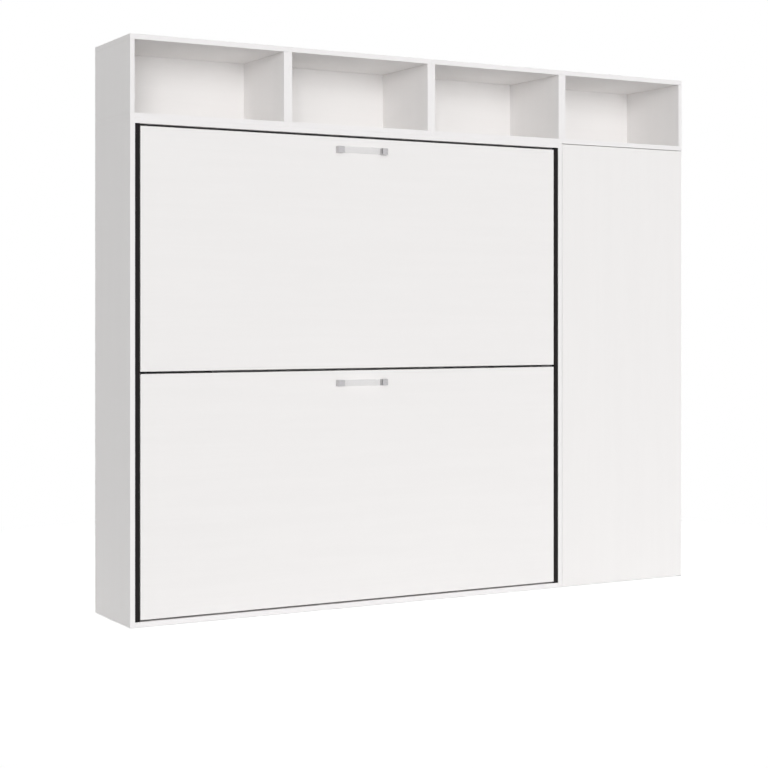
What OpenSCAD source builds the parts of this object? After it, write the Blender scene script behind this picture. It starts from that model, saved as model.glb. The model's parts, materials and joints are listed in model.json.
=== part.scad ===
// Bunk wall bed: two fold-down beds lying lengthwise, one above the other, beside a tall cupboard,
// with a row of open boxes along the top. Closed, each bed shows one plain front with a bow handle.
// Origin under the middle of the whole unit, on the floor. X runs to the right, the fronts face -Y.

/* [Beds] */
// Length of each mattress
mattress_l = 2000; // [1900:10:2100]
// Width of each mattress
mattress_w = 900; // [800:10:1000]
// Thickness of each mattress
mattress_t = 150; // [100:5:160]
// Corner radius of each mattress
mattress_r = 45; // [20:5:80]
// From each end of the mattress to the outside of the cabinet
bed_end = 95; // [90:1:110]

/* [Bed frames] */
// Frame past the mattress on each long side
frame_margin = 25; // [22:1:40]
// Width of the frame tube
tube_w = 30; // [30:1:40]
// Depth of the frame tube
tube_d = 40; // [38:1:50]
// Wall of the frame tube
tube_wall = 2; // [1.5:0.5:3]
// Front panel past the frame at the lower edge
front_under = 20; // [15:1:30]
// Front panel past the frame at the top edge
front_over = 58; // [50:1:80]
// Room for the springs between the cabinet side and the frame
side_room = 33; // [31:1:40]

/* [Bed pivots] */
// Pivot above the lower edge of its front
pivot_up = 250; // [220:5:280]
// Pivot behind the face of the frame that carries the front
pivot_in = 22; // [19:0.5:22]
// Radius of the pivot pin
pin_r = 8; // [6:0.5:9]
// Radius of the sleeve that turns on the pin
sleeve_r = 13; // [12:0.5:15]
// Side of the square pivot plate
pivot_plate = 90; // [70:5:120]
// Thickness of the pivot plate
pivot_plate_t = 6; // [4:0.5:7]
// Radial clearance of everything that turns on a pin
turn_gap = 0.05; // [0.03:0.01:0.1]

/* [Slats] */
// Slats under each mattress
slats = 14; // [10:1:16]
// Width of a slat
slat_w = 68; // [50:1:75]
// Thickness of a slat
slat_t = 8; // [6:0.5:10]
// Rise of the middle of a slat over its ends
slat_bow = 8; // [4:1:14]
// Slat holder past the slat at each edge
holder_lip = 4; // [3:0.5:6]
// Depth of the pocket of a slat holder
holder_pocket = 22; // [15:1:26]
// Clearance of a slat in its holder
slat_gap = 0.4; // [0.2:0.1:1]

/* [Mattress straps] */
// Width of the strap
strap_w = 40; // [25:1:50]
// Thickness of the strap
strap_t = 2; // [1:0.5:3]
// Clearance between strap and mattress
strap_gap = 1.5; // [0.5:0.5:2]

/* [Gas springs] */
// Cabinet stud above the bed pivot
anchor_up = 330; // [300:5:360]
// Cabinet stud behind the bed pivot
anchor_back = 130; // [110:5:150]
// Bed stud below the bed pivot
stud_down = 150; // [140:1:156]
// Radius of the pressure tube
gas_tube_r = 9; // [8:0.5:10]
// Length of the pressure tube
gas_tube_l = 225; // [215:1:235]
// Radius of the piston rod
rod_r = 4; // [3:0.5:5]
// Radius of the studs at both ends
stud_r = 4; // [3:0.5:5]
// Width of the eyes at both ends
eye_w = 10; // [8:1:12]
// Radius of the eyes at both ends
eye_r = 9; // [8:0.5:10]

// Thickness of the plates that carry the cabinet studs
stud_plate_t = 3; // [2:0.5:4]
// Width of the stud plates
stud_plate_w = 44; // [36:1:50]
// Height of the stud plates
stud_plate_h = 60; // [52:1:80]
// Screw holes in from the ends of the stud plates
stud_hole_in = 9; // [7:0.5:12]
// Radius of the screw holes of all plates on the cabinet sides
plate_hole_r = 3; // [2:0.5:4]
// Radius of the collar between stud plate and gas spring
stud_collar_r = 7; // [6:0.5:9]
// Stud past the eye of the gas spring
stud_past = 2; // [1.5:0.5:3]

/* [Legs of the lower bed] */
// Width of the leg
leg_w = 30; // [24:1:36]
// Thickness of the leg
leg_t = 4; // [3:0.5:5]
// From the end of the front to the pivot of the leg
leg_in = 60; // [40:5:120]
// Radius of the leg pin
leg_pin_r = 5; // [4:0.5:6]
// Floor under the unfolded leg
leg_lift = 1; // [0.5:0.5:3]
// Leg over the top edge of the front
leg_clear = 0.6; // [0.5:0.1:1]

/* [Guard rail of the upper bed] */
// Radius of the rail tube
guard_r = 10; // [8:0.5:11]
// Middle of the upper rail behind the bed pivot
guard_up = 300; // [270:5:305]
// Spacing of the two rails
guard_pitch = 76; // [60:1:90]
// Slat gap that holds the last post, counted from the left
guard_last = 10; // [8:1:12]
// Rail tube behind the outer edge of the frame
guard_in = 1; // [0:0.5:3]

/* [Cabinet] */
// Depth of every cabinet
depth = 430; // [420:5:500]
// Thickness of boards, fronts and door
board = 22; // [19:1:25]
// Thickness of back panels
back_t = 4; // [3:0.5:8]
// Back panels in front of the rear edge
back_in = 6; // [3:1:12]
// Height of the glides
glide_h = 3; // [2:0.5:6]
// Radius of the glides
glide_r = 15; // [10:1:20]
// Gap under the lower front
gap_low = 7; // [6:0.5:12]
// Gap between the two fronts
gap_mid = 10; // [10:0.5:14]
// Gap over the upper front
gap_top = 10; // [8:0.5:14]
// Gap beside the fronts
gap_side = 3; // [2:0.5:6]
// Fronts behind the front edge of the cabinet
front_back = 3; // [1:0.5:6]
// Width of the dark filler strips
strip_w = 22; // [15:1:26]
// Depth of the dark filler strips
strip_t = 16; // [10:1:18]
// Height of the wall fixing rails
rail_h = 100; // [60:5:140]
// Depth of the middle shelf
mid_d = 190; // [120:5:200]

/* [Wall fixing] */
// Radius of the fixing holes
fix_r = 4; // [3:0.5:6]
// Spacing of the fixing holes of the bed cabinet
fix_bed = 1600; // [1200:50:1800]
// Spacing of the fixing holes of the cupboard
fix_column = 400; // [200:20:560]

/* [Open boxes] */
// Height of the boxes
cube_h = 350; // [280:5:450]
// Thickness of the box sides
cube_side = 20; // [16:1:25]

/* [Cupboard] */
// Carcass behind the door
door_room = 3; // [2.8:0.1:6]
// Gap over and under the door
door_gap = 3; // [3:0.1:5]
// Door edge from the edge of the cupboard
door_in = 3; // [1.5:0.5:6]
// Door pivot from the edge of the door
door_pin_in = 7; // [7:0.5:9]
// Door pivot behind the face of the door
door_pin_back = 13; // [11:0.5:13]
// Radius of the door pins
door_pin_r = 3; // [2:0.5:3.5]
// Length of the door pins
door_pin_l = 12; // [8:1:20]
// Radius of the nylon bushes round the door pins
bush_r = 5; // [4.5:0.1:6]
// Thickness of the door pivot plates
door_plate_t = 2.4; // [1.5:0.1:2.5]
// Upper shelf above the floor
shelf_high = 1750; // [1500:10:1850]
// Lower shelf above the floor
shelf_low = 420; // [300:10:600]
// Shelves behind the front edges of the cupboard sides
shelf_back = 8; // [4:1:20]
// Gap at each end of the lower shelf, which lies loose on its pins
shelf_gap = 1; // [0.5:0.5:2]
// Radius of the shelf pins
shelf_pin_r = 2.5; // [2:0.5:3]
// Clearance of the shelf pins in their holes
shelf_pin_fit = 0.05; // [0.05:0.05:0.2]
// Depth of the shelf pins in the cupboard sides
shelf_pin_in = 9; // [6:1:12]
// Pin holes deeper than the pins
shelf_pin_deep = 1; // [0.5:0.5:3]
// Shelf pins out from the cupboard sides
shelf_pin_out = 9; // [6:1:12]
// Width of the ledge of a shelf pin
shelf_pin_ledge = 10; // [7:1:14]
// Rows of pin holes in from the front and rear edges of the shelf
shelf_pin_edge = 37; // [25:1:60]
// Pitch of the pin holes
shelf_pin_pitch = 32; // [25:1:50]
// Spare holes over and under the shelf pins
shelf_pin_spare = 4; // [1:1:6]
// Hanging rail below the upper shelf
rail_drop = 60; // [45:5:100]
// Radius of the hanging rail
hang_r = 12.5; // [10:0.5:15]
// Width of the magnetic catch
catch_w = 14; // [10:1:18]
// Depth of the magnetic catch
catch_d = 45; // [30:1:60]
// Height of the magnetic catch with its ears
catch_h = 60; // [50:1:80]
// Height of the ears of the magnetic catch
catch_ear = 12; // [9:1:16]
// Thickness of the ears of the magnetic catch
catch_ear_t = 3; // [2:0.5:5]
// Ears of the magnetic catch behind its front
catch_ear_back = 11; // [5:1:20]
// Strike plate within the width and height of the catch
strike_in = 1; // [0.5:0.5:3]
// Gap between the magnetic catch and its strike plate
strike_gap = 0.3; // [0.2:0.1:1]

/* [Handles] */
// Length of the handle
handle_l = 255; // [160:1:320]
// Height of the handle
handle_h = 28; // [16:1:40]
// Handle out from the face of the front
handle_out = 28; // [22:1:40]
// Width of the end posts
post_w = 31.5; // [14:0.5:40]
// Corner radius of the end posts
post_r = 11; // [3:0.5:14]
// Thickness of the clear bar
bar_t = 8; // [5:0.5:12]
// Clear bar behind the face of the posts
bar_in = 1; // [0:0.5:3]
// Middle of the handle below the top edge of the front
handle_down = 55; // [40:1:90]

/* [Hidden] */
$fn = 64;

bed_w = mattress_l + 2 * bed_end;
module_w = bed_w / 3;
total_w = bed_w + module_w;
x_left = -total_w / 2;
x_bed = x_left + bed_w;
x_right = total_w / 2;
bed_mid = (x_left + x_bed) / 2;
bed_inner = bed_w - 2 * board;

// Y of the front edge of the cabinets, so that the handles and the back lie evenly about the origin
y_front = -(depth - handle_out + front_back) / 2;
y_back = y_front + depth;
y_face = y_front + front_back;
y_pivot = y_face + board + pivot_in;

// Across a bed, measured from its pivot: up at rest, outward when it is open
front_low = -pivot_up;
frame_low = front_low + front_under;
frame_w = mattress_w + 2 * frame_margin;
frame_top = frame_low + frame_w;
front_top = frame_top + front_over;
mattress_low = frame_low + frame_margin;
mattress_top = mattress_low + mattress_w;
front_h = front_top - front_low;

// Through a bed, measured from its pivot: rearward at rest, upward when it is open
frame_front = -pivot_in;
frame_back = frame_front + tube_d;
slat_rise = 4;
slat_back = frame_back + slat_rise;
holder_t = slat_rise + slat_t + 4;
mattress_front = slat_back + slat_t + slat_bow + 1;
mattress_back = mattress_front + mattress_t;

// Heights
z_low = glide_h + board;
z_front_low = z_low + gap_low;
z_front_high = z_front_low + front_h + gap_mid;
z_pivot_low = z_front_low + pivot_up;
z_pivot_high = z_front_high + pivot_up;
z_under_top = z_front_high + front_h + gap_top;
z_top = z_under_top + board;
z_mid = z_front_high - gap_mid / 2 - board / 2;

// Slats lie evenly under the mattress
slat_pitch = mattress_l / slats;
slat_low = frame_low + tube_w - holder_pocket;
slat_high = frame_top - tube_w + holder_pocket;
strap_slots = [3, slats - 3];
guard_slots = [1, ceil(guard_last / 2), guard_last];

// Joint between two boards of one box
seam = 0.1;

// Gas spring: middle of its tube from the cabinet side, its closed length and its lean
gas_x = 14;
spring_l = norm([anchor_back, anchor_up + stud_down]);
spring_lean = 180 - atan2(anchor_back, anchor_up + stud_down);
gas_tube_from = 18;
rod_l = 292;
plate_room = 3;
bed_stud_gap = 0.5;
arm_t = 4;
arm_w = 34;

leg_l = z_pivot_low - leg_lift;
leg_low = front_top + leg_clear;
bracket_w = 44;
bracket_t = 4;

// Cupboard behind its door
y_column = y_front + board + door_room;
column_in = [x_bed + board, x_right - board];
y_back_panel = y_back - back_in - back_t;
door_x = [x_bed + door_in / 2, x_right - door_in];
door_z = [glide_h + door_gap - 2, z_top - door_gap];
door_axis = [door_x[1] - door_pin_in, y_front + door_pin_back];
door_plate_w = 26;
door_plate_back = 46;

// A box from its lower to its upper value on each axis
module block(x, y, z) {
    translate([x[0], y[0], z[0]])
        cube([x[1] - x[0], y[1] - y[0], z[1] - z[0]]);
}

// A rod or disc along X, between two values of X
module rod_x(x, r) {
    translate([x[0], 0, 0])
        rotate([0, 90, 0])
            cylinder(h = x[1] - x[0], r = r);
}

// At both sides of the bed cabinet: X counts inward from the inner face of the side
module at_bed_sides() {
    for (turn = [0, 1])
        translate([bed_mid, 0, 0])
            mirror([turn, 0, 0])
                translate([-bed_inner / 2, 0, 0])
                    children();
}

// At both bed pivots: Y counts through the bed and Z across it
module at_pivots() {
    for (z = [z_pivot_low, z_pivot_high])
        translate([0, y_pivot, z])
            children();
}

module in_lower() {
    translate([0, y_pivot, z_pivot_low])
        children();
}

module in_upper() {
    translate([0, y_pivot, z_pivot_high])
        children();
}

// ---------- Cabinet of the beds ----------

module bed_side() {
    block([-board, 0], [y_front, y_back], [glide_h, z_top]);
}

module bed_side_left() {
    color("#efebec")
        translate([x_left + board, 0, 0])
            bed_side();
}

module bed_side_right() {
    color("#efebec")
        translate([x_bed, 0, 0])
            bed_side();
}

module bed_bottom() {
    color("#efebec")
        block([x_left + board, x_bed - board], [y_front, y_back], [glide_h, z_low]);
}

module bed_top() {
    color("#efebec")
        block([x_left + board, x_bed - board], [y_front, y_back], [z_under_top, z_top]);
}

module mid_shelf() {
    color("#efebec")
        block([x_left + board, x_bed - board], [y_back - mid_d, y_back], [z_mid, z_mid + board]);
}

module bed_backs() {
    color("#e6e2e0")
        for (z = [[z_low, z_mid - rail_h], [z_mid + board, z_under_top - rail_h]])
            block([x_left + board, x_bed - board], [y_back_panel, y_back_panel + back_t], z);
}

// A rail under a board, with two holes for wall screws
module wall_rail(x, z_above, spacing) {
    z = z_above - rail_h;
    difference() {
        block(x, [y_back - board, y_back], [z, z_above]);
        for (side = [-1, 1])
            translate([(x[0] + x[1] + side * spacing) / 2, y_back + 1, z + rail_h / 2])
                rotate([90, 0, 0])
                    cylinder(h = board + 2, r = fix_r);
    }
}

module wall_rails() {
    color("#e6e2e0") {
        wall_rail([x_left + board, x_bed - board], z_under_top, fix_bed);
        wall_rail([x_left + board, x_bed - board], z_mid, fix_bed);
        wall_rail(column_in, z_under_top, fix_column);
    }
}

module filler_strips() {
    color("#2b2728")
        at_bed_sides()
            block([0, strip_w], [y_face, y_face + strip_t], [z_low, z_under_top]);
}

module glides() {
    inset = 2 * glide_r;
    color("#5a5a5a")
        for (x = [x_left + inset, x_left + bed_w / 3, x_left + 2 * bed_w / 3, x_bed - inset,
                  x_bed + inset, x_right - inset])
            for (y = [y_column + 3 * glide_r, y_back - inset])
                translate([x, y, 0])
                    cylinder(h = glide_h, r = glide_r);
}

// A plate on the cabinet side, behind the filler strip, with the pin that the bed turns on
module bed_pivots() {
    half = pivot_plate / 2;
    front = strip_t + plate_room - board - pivot_in;
    hole_in = 12;
    color("#a8aaad")
        at_bed_sides()
            at_pivots() {
                difference() {
                    block([0, pivot_plate_t], [front, front + pivot_plate], [-half, half]);
                    for (y = [front + hole_in, front + pivot_plate - hole_in])
                        for (z = [-half + hole_in, half - hole_in])
                            translate([0, y, z])
                                rod_x([-1, pivot_plate_t + 1], plate_hole_r);
                }
                rod_x([pivot_plate_t, side_room - 0.5], sleeve_r);
                rod_x([side_room - 0.5, side_room + tube_w - 1], pin_r);
            }
}

// A plate on the cabinet side with the stud of a gas spring
module spring_studs() {
    eye_from = gas_x - eye_w / 2 - bed_stud_gap;
    color("#a8aaad")
        at_bed_sides()
            at_pivots()
                translate([0, anchor_back, anchor_up]) {
                    difference() {
                        block([0, stud_plate_t], [-stud_plate_w / 2, stud_plate_w / 2],
                              [-stud_plate_h / 2, stud_plate_h / 2]);
                        for (side = [-1, 1])
                            translate([0, 0, side * (stud_plate_h / 2 - stud_hole_in)])
                                rod_x([-1, stud_plate_t + 1], plate_hole_r);
                    }
                    rod_x([stud_plate_t, eye_from], stud_collar_r);
                    rod_x([eye_from, gas_x + eye_w / 2 + stud_past], stud_r);
                }
}

// ---------- One bed, from its pivot ----------

module bed_front() {
    color("#efebec")
        block([x_left + board + strip_w + gap_side, x_bed - board - strip_w - gap_side],
              [frame_front - board, frame_front], [front_low, front_top]);
}

module at_handle() {
    translate([bed_mid, frame_front - board, front_top - handle_down])
        children();
}

// End posts: rounded at their outer front corners
module handle_posts() {
    color("#8f8d8f")
        at_handle()
            for (side = [-1, 1])
                mirror([max(-side, 0), 0, 0])
                    translate([handle_l / 2 - post_w, 0, -handle_h / 2])
                        linear_extrude(height = handle_h) {
                            translate([0, -handle_out])
                                square([post_w - post_r, handle_out]);
                            translate([0, -handle_out + post_r])
                                square([post_w, handle_out - post_r]);
                            translate([post_w - post_r, -handle_out + post_r])
                                circle(r = post_r);
                        }
}

// Clear acrylic between the posts
module handle_bar() {
    reach = handle_l / 2 - post_w;
    color("#dfe2e4")
        at_handle()
            block([-reach, reach], [bar_in - handle_out, bar_in - handle_out + bar_t],
                  [-handle_h / 2, handle_h / 2]);
}

// One tube along X, open at both ends
module long_tube(low) {
    reach = bed_inner / 2 - side_room;
    difference() {
        block([bed_mid - reach, bed_mid + reach], [frame_front, frame_back], [low, low + tube_w]);
        block([bed_mid - reach - 1, bed_mid + reach + 1],
              [frame_front + tube_wall, frame_back - tube_wall],
              [low + tube_wall, low + tube_w - tube_wall]);
    }
}

// One tube across the bed with the sleeve that turns on the pivot pin, and the arm of the gas spring
module cross_tube() {
    low = frame_low + tube_w;
    high = frame_top - tube_w;
    difference() {
        union() {
            difference() {
                block([side_room, side_room + tube_w], [frame_front, frame_back], [low, high]);
                block([side_room + tube_wall, side_room + tube_w - tube_wall],
                      [frame_front + tube_wall, frame_back - tube_wall], [low - 1, high + 1]);
            }
            rod_x([side_room, side_room + tube_w], sleeve_r);
        }
        rod_x([side_room - 1, side_room + tube_w + 1], pin_r + turn_gap);
    }
}

module bed_frame() {
    color("#55585c") {
        long_tube(frame_low);
        long_tube(frame_top - tube_w);
        at_bed_sides() {
            cross_tube();
            block([side_room - arm_t, side_room], [-arm_w / 2, arm_w / 2],
                  [-stud_down - arm_w / 2, -stud_down + arm_w]);
        }
    }
}

// Plastic caps let into the ends of the long tubes
module frame_caps() {
    gap = 0.2;
    color("#2b2b2d")
        at_bed_sides()
            for (low = [frame_low, frame_top - tube_w]) {
                block([side_room - 3, side_room], [frame_front, frame_back], [low, low + tube_w]);
                block([side_room, side_room + 15],
                      [frame_front + tube_wall + gap, frame_back - tube_wall - gap],
                      [low + tube_wall + gap, low + tube_w - tube_wall - gap]);
            }
}

function slat_x(i) = bed_mid - mattress_l / 2 + (i + 0.5) * slat_pitch;

// Side view of a slat: a bowed strip, thicker by grow on every side
module slat_side(grow = 0) {
    steps = 12;
    span = slat_high - slat_low;
    rise = function(t) slat_bow * (1 - pow(2 * t - 1, 2));
    polygon(concat(
        [for (i = [0:steps]) [slat_back - grow + rise(i / steps), slat_low + span * i / steps]],
        [for (i = [steps:-1:0])
            [slat_back + slat_t + grow + rise(i / steps), slat_low + span * i / steps]]
    ));
}

module slat() {
    rotate([90, 0, 90])
        linear_extrude(height = slat_w, center = true)
            slat_side();
}

module bed_slats() {
    color("#d9bf95")
        for (i = [0:slats - 1])
            translate([slat_x(i), 0, 0])
                slat();
}

// A holder on a long tube, with a pocket that is open toward the middle of the bed
module slat_holder(low) {
    outer = slat_w / 2 + holder_lip;
    inner = slat_w / 2 + slat_gap;
    difference() {
        block([-outer, outer], [frame_back, frame_back + holder_t], [low, low + tube_w]);
        intersection() {
            block([-inner, inner], [frame_back, frame_back + holder_t],
                  [slat_low - slat_gap, slat_high + slat_gap]);
            rotate([90, 0, 90])
                linear_extrude(height = 2 * inner, center = true)
                    union() {
                        slat_side(slat_gap);
                        for (z = [slat_low - slat_gap, slat_high])
                            translate([slat_back - slat_gap, z])
                                square([slat_t + 2 * slat_gap, slat_gap]);
                    }
        }
    }
}

module bed_slat_holders() {
    color("#2b2b2d")
        for (i = [0:slats - 1])
            translate([slat_x(i), 0, 0])
                for (low = [frame_low, frame_top - tube_w])
                    slat_holder(low);
}

module rounded(l, w, r) {
    square([l - 2 * r, w], center = true);
    square([l, w - 2 * r], center = true);
    for (x = [-1, 1])
        for (y = [-1, 1])
            translate([x * (l / 2 - r), y * (w / 2 - r)])
                circle(r = r);
}

// Mattress: a border between two slightly smaller quilted faces
module bed_mattress() {
    face_t = 12;
    face_in = 7;
    color("#f4f2ee")
        translate([bed_mid, mattress_back, (mattress_low + mattress_top) / 2])
            rotate([90, 0, 0]) {
                linear_extrude(height = mattress_t)
                    rounded(mattress_l - 2 * face_in, mattress_w - 2 * face_in, mattress_r - face_in);
                translate([0, 0, face_t])
                    linear_extrude(height = mattress_t - 2 * face_t)
                        rounded(mattress_l, mattress_w, mattress_r);
            }
}

// Two straps that hold the mattress while the bed is closed
module bed_straps() {
    low = mattress_low - strap_gap;
    high = mattress_top + strap_gap;
    back = mattress_back + strap_gap;
    color("#4a4b4f")
        for (i = strap_slots)
            translate([(slat_x(i) + slat_x(i - 1)) / 2, 0, 0])
                difference() {
                    block([-strap_w / 2, strap_w / 2], [frame_back, back + strap_t],
                          [low - strap_t, high + strap_t]);
                    block([-strap_w, strap_w], [frame_back - 1, back], [low, high]);
                }
}

// Gas spring, from its cabinet stud: Z runs down to the bed stud
module in_spring() {
    at_bed_sides()
        translate([gas_x, anchor_back, anchor_up])
            rotate([spring_lean, 0, 0])
                children();
}

module spring_tubes() {
    end = gas_tube_from + gas_tube_l;
    color("#1f1f21")
        in_spring()
            difference() {
                union() {
                    rod_x([-eye_w / 2, eye_w / 2], eye_r);
                    cylinder(h = gas_tube_from, r = eye_w / 2 - 1);
                    translate([0, 0, gas_tube_from])
                        cylinder(h = gas_tube_l, r = gas_tube_r);
                }
                rod_x([-eye_w, eye_w], stud_r + turn_gap);
                translate([0, 0, gas_tube_from + 3])
                    cylinder(h = gas_tube_l - 9, r = gas_tube_r - 2);
                translate([0, 0, end - 10])
                    cylinder(h = 11, r = rod_r + turn_gap);
            }
}

module spring_rods() {
    color("#c9cbce")
        in_spring()
            translate([0, 0, spring_l]) {
                translate([0, 0, -rod_l])
                    cylinder(h = rod_l, r = rod_r);
                translate([0, 0, -20])
                    cylinder(h = 14, r = 6);
                rod_x([-eye_w / 2, eye_w / 2], eye_r);
                rod_x([eye_w / 2, side_room - arm_t - bed_stud_gap - gas_x], stud_r);
            }
}

// ---------- Lower bed ----------

module lower_front() { in_lower() bed_front(); }
module lower_handle_posts() { in_lower() handle_posts(); }
module lower_handle_bar() { in_lower() handle_bar(); }
module lower_frame() { in_lower() bed_frame(); }
module lower_frame_caps() { in_lower() frame_caps(); }
module lower_slats() { in_lower() bed_slats(); }
module lower_slat_holders() { in_lower() bed_slat_holders(); }
module lower_mattress() { in_lower() bed_mattress(); }
module lower_straps() { in_lower() bed_straps(); }
module lower_spring_tubes() { in_lower() spring_tubes(); }
module lower_spring_rods() { in_lower() spring_rods(); }

// At both leg pivots: X counts toward the middle of the bed, Z from the top edge of the front
module at_leg(side) {
    reach = bed_inner / 2 - strip_w - gap_side - leg_in;
    in_lower()
        translate([bed_mid + side * reach, 0, leg_low])
            mirror([max(side, 0), 0, 0])
                children();
}

// A bracket on the upper tube, behind the front, with the pin of a leg
module leg_brackets() {
    stand = leg_low - 0.3 - frame_top;
    color("#55585c")
        for (side = [-1, 1])
            at_leg(side)
                translate([0, 0, -0.3]) {
                    block([-bracket_w / 2, bracket_w / 2], [frame_front + 2, frame_back - 2],
                          [-bracket_t, 0]);
                    for (x = [-bracket_w / 2, bracket_w / 2 - bracket_t])
                        block([x, x + bracket_t], [frame_front + 2, frame_back - 2],
                              [-stand, -bracket_t]);
                    translate([0, 0, -bracket_t])
                        cylinder(h = bracket_t + 0.3 + leg_t, r = leg_pin_r);
                }
}

// A flat leg with round ends
module leg(side) {
    color("#1f1f21")
        at_leg(side)
            difference() {
                union() {
                    cylinder(h = leg_t, r = leg_w / 2);
                    block([0, leg_l - leg_w / 2], [-leg_w / 2, leg_w / 2], [0, leg_t]);
                    translate([leg_l - leg_w / 2, 0, 0])
                        cylinder(h = leg_t, r = leg_w / 2);
                }
                translate([0, 0, -1])
                    cylinder(h = leg_t + 2, r = leg_pin_r + turn_gap);
            }
}

module leg_left() { leg(-1); }
module leg_right() { leg(1); }

// ---------- Upper bed ----------

module upper_front() { in_upper() bed_front(); }
module upper_handle_posts() { in_upper() handle_posts(); }
module upper_handle_bar() { in_upper() handle_bar(); }
module upper_frame() { in_upper() bed_frame(); }
module upper_frame_caps() { in_upper() frame_caps(); }
module upper_slats() { in_upper() bed_slats(); }
module upper_slat_holders() { in_upper() bed_slat_holders(); }
module upper_mattress() { in_upper() bed_mattress(); }
module upper_straps() { in_upper() bed_straps(); }
module upper_spring_tubes() { in_upper() spring_tubes(); }
module upper_spring_rods() { in_upper() spring_rods(); }

// Guard rail on the outer long tube, with a gap at the right where the sleeper gets in
module guard_rail() {
    post_x = [for (i = guard_slots) (slat_x(i) + slat_x(i - 1)) / 2];
    color("#55585c")
        in_upper()
            translate([0, 0, frame_top - guard_in - guard_r]) {
                for (x = post_x)
                    translate([x, frame_back, 0])
                        rotate([-90, 0, 0])
                            cylinder(h = guard_up - frame_back, r = guard_r);
                for (y = [guard_up, guard_up - guard_pitch])
                    translate([0, y, 0]) {
                        rod_x([post_x[0], post_x[2]], guard_r);
                        for (x = [post_x[0], post_x[2]])
                            translate([x, 0, 0])
                                sphere(r = guard_r);
                    }
            }
}

// ---------- Cupboard ----------

// Recess in the carcass for the upper pivot plate of the door
module door_plate_recess() {
    block([door_plate_x()[0] - 0.3, x_right + 1], [y_front, y_front + door_plate_back + 0.3],
          [z_top - door_plate_t, z_top + 1]);
}

function door_plate_x() = [x_right - door_plate_w, x_right - 0.5];

module column_side(x) {
    block([x, x + board], [y_column, y_back], [glide_h, z_top]);
}

function pin_rows() = [y_column + shelf_back + shelf_pin_edge, y_back_panel - shelf_pin_edge];

// Two rows of blind holes for shelf pins, open at x, toward the inside of the cupboard
module pin_holes(x, inward) {
    deep = [x - inward * (shelf_pin_in + shelf_pin_deep), x + inward];
    for (y = pin_rows(), i = [-shelf_pin_spare:shelf_pin_spare])
        translate([0, y, shelf_low - board - shelf_pin_r + i * shelf_pin_pitch])
            rod_x([min(deep), max(deep)], shelf_pin_r + shelf_pin_fit);
}

module column_side_left() {
    color("#efebec")
        difference() {
            column_side(x_bed);
            pin_holes(column_in[0], 1);
        }
}

module column_side_right() {
    color("#efebec")
        difference() {
            column_side(x_right - board);
            door_plate_recess();
            pin_holes(column_in[1], -1);
        }
}

module column_bottom() {
    color("#efebec")
        block(column_in, [y_column, y_back], [glide_h, z_low]);
}

module column_top() {
    color("#efebec")
        difference() {
            block(column_in, [y_column, y_back], [z_under_top, z_top]);
            door_plate_recess();
        }
}

module column_back() {
    color("#e6e2e0")
        block(column_in, [y_back_panel, y_back_panel + back_t], [z_low, z_under_top - rail_h]);
}

// The upper shelf is fixed between the sides, the lower one lies on four pins
module column_shelves() {
    color("#efebec")
        for (shelf = [[shelf_low, shelf_gap], [shelf_high, 0]])
            block([column_in[0] + shelf[1], column_in[1] - shelf[1]],
                  [y_column + shelf_back, y_back_panel], [shelf[0] - board, shelf[0]]);
}

// A round pin with a flat ledge that carries the shelf
module shelf_pins() {
    z = shelf_low - board;
    color("#a8aaad")
        for (end = [[column_in[0], 1], [column_in[1], -1]], y = pin_rows()) {
            pin = [end[0] - end[1] * shelf_pin_in, end[0]];
            ledge = [end[0], end[0] + end[1] * shelf_pin_out];
            translate([0, y, z - shelf_pin_r])
                rod_x([min(pin), max(pin)], shelf_pin_r);
            block([min(ledge), max(ledge)], [y - shelf_pin_ledge / 2, y + shelf_pin_ledge / 2], [z - 2 * shelf_pin_r, z]);
        }
}

module at_hanging_rail() {
    translate([0, (y_column + y_back_panel) / 2, shelf_high - board - rail_drop])
        children();
}

module hanging_rail() {
    color("#c9cbce")
        at_hanging_rail()
            difference() {
                rod_x([column_in[0] + 3, column_in[1] - 3], hang_r);
                rod_x([column_in[0], column_in[1]], hang_r - 1.5);
            }
}

// Flanged sockets screwed to the cupboard sides, round the ends of the hanging rail
module rail_sockets() {
    color("#c9cbce")
        at_hanging_rail()
            for (end = [0, 1])
                translate([column_in[end], 0, 0])
                    mirror([end, 0, 0])
                        difference() {
                            union() {
                                rod_x([0, 3], hang_r + 12);
                                rod_x([0, 14], hang_r + 3);
                            }
                            rod_x([3, 15], hang_r + 0.1);
                        }
}

module door() {
    color("#efebec")
        difference() {
            block(door_x, [y_front, y_front + board], door_z);
            for (z = [door_z[0] - 1, door_z[1] - door_pin_l - 1])
                translate([door_axis[0], door_axis[1], z])
                    cylinder(h = door_pin_l + 2, r = bush_r);
        }
}

// Nylon bushes in both ends of the door, round the pivot pins
module door_bushes() {
    color("#d8d6d2")
        for (z = [door_z[0], door_z[1] - door_pin_l - 1])
            translate([door_axis[0], door_axis[1], z])
                difference() {
                    cylinder(h = door_pin_l + 1, r = bush_r);
                    translate([0, 0, -1])
                        cylinder(h = door_pin_l + 3, r = door_pin_r + turn_gap);
                }
}

// A cranked plate with an upright pin: Z counts from the plate toward the door
module door_pivot() {
    block([door_plate_x()[0], door_plate_x()[1]], [y_front + 4, y_front + door_plate_back],
          [0, door_plate_t]);
    translate([door_axis[0], door_axis[1], 0])
        cylinder(h = door_plate_t + door_pin_l, r = door_pin_r);
}

module door_pivots() {
    color("#a8aaad") {
        translate([0, 0, glide_h - door_plate_t])
            door_pivot();
        translate([0, 0, z_top])
            mirror([0, 0, 1])
                door_pivot();
    }
}

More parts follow.
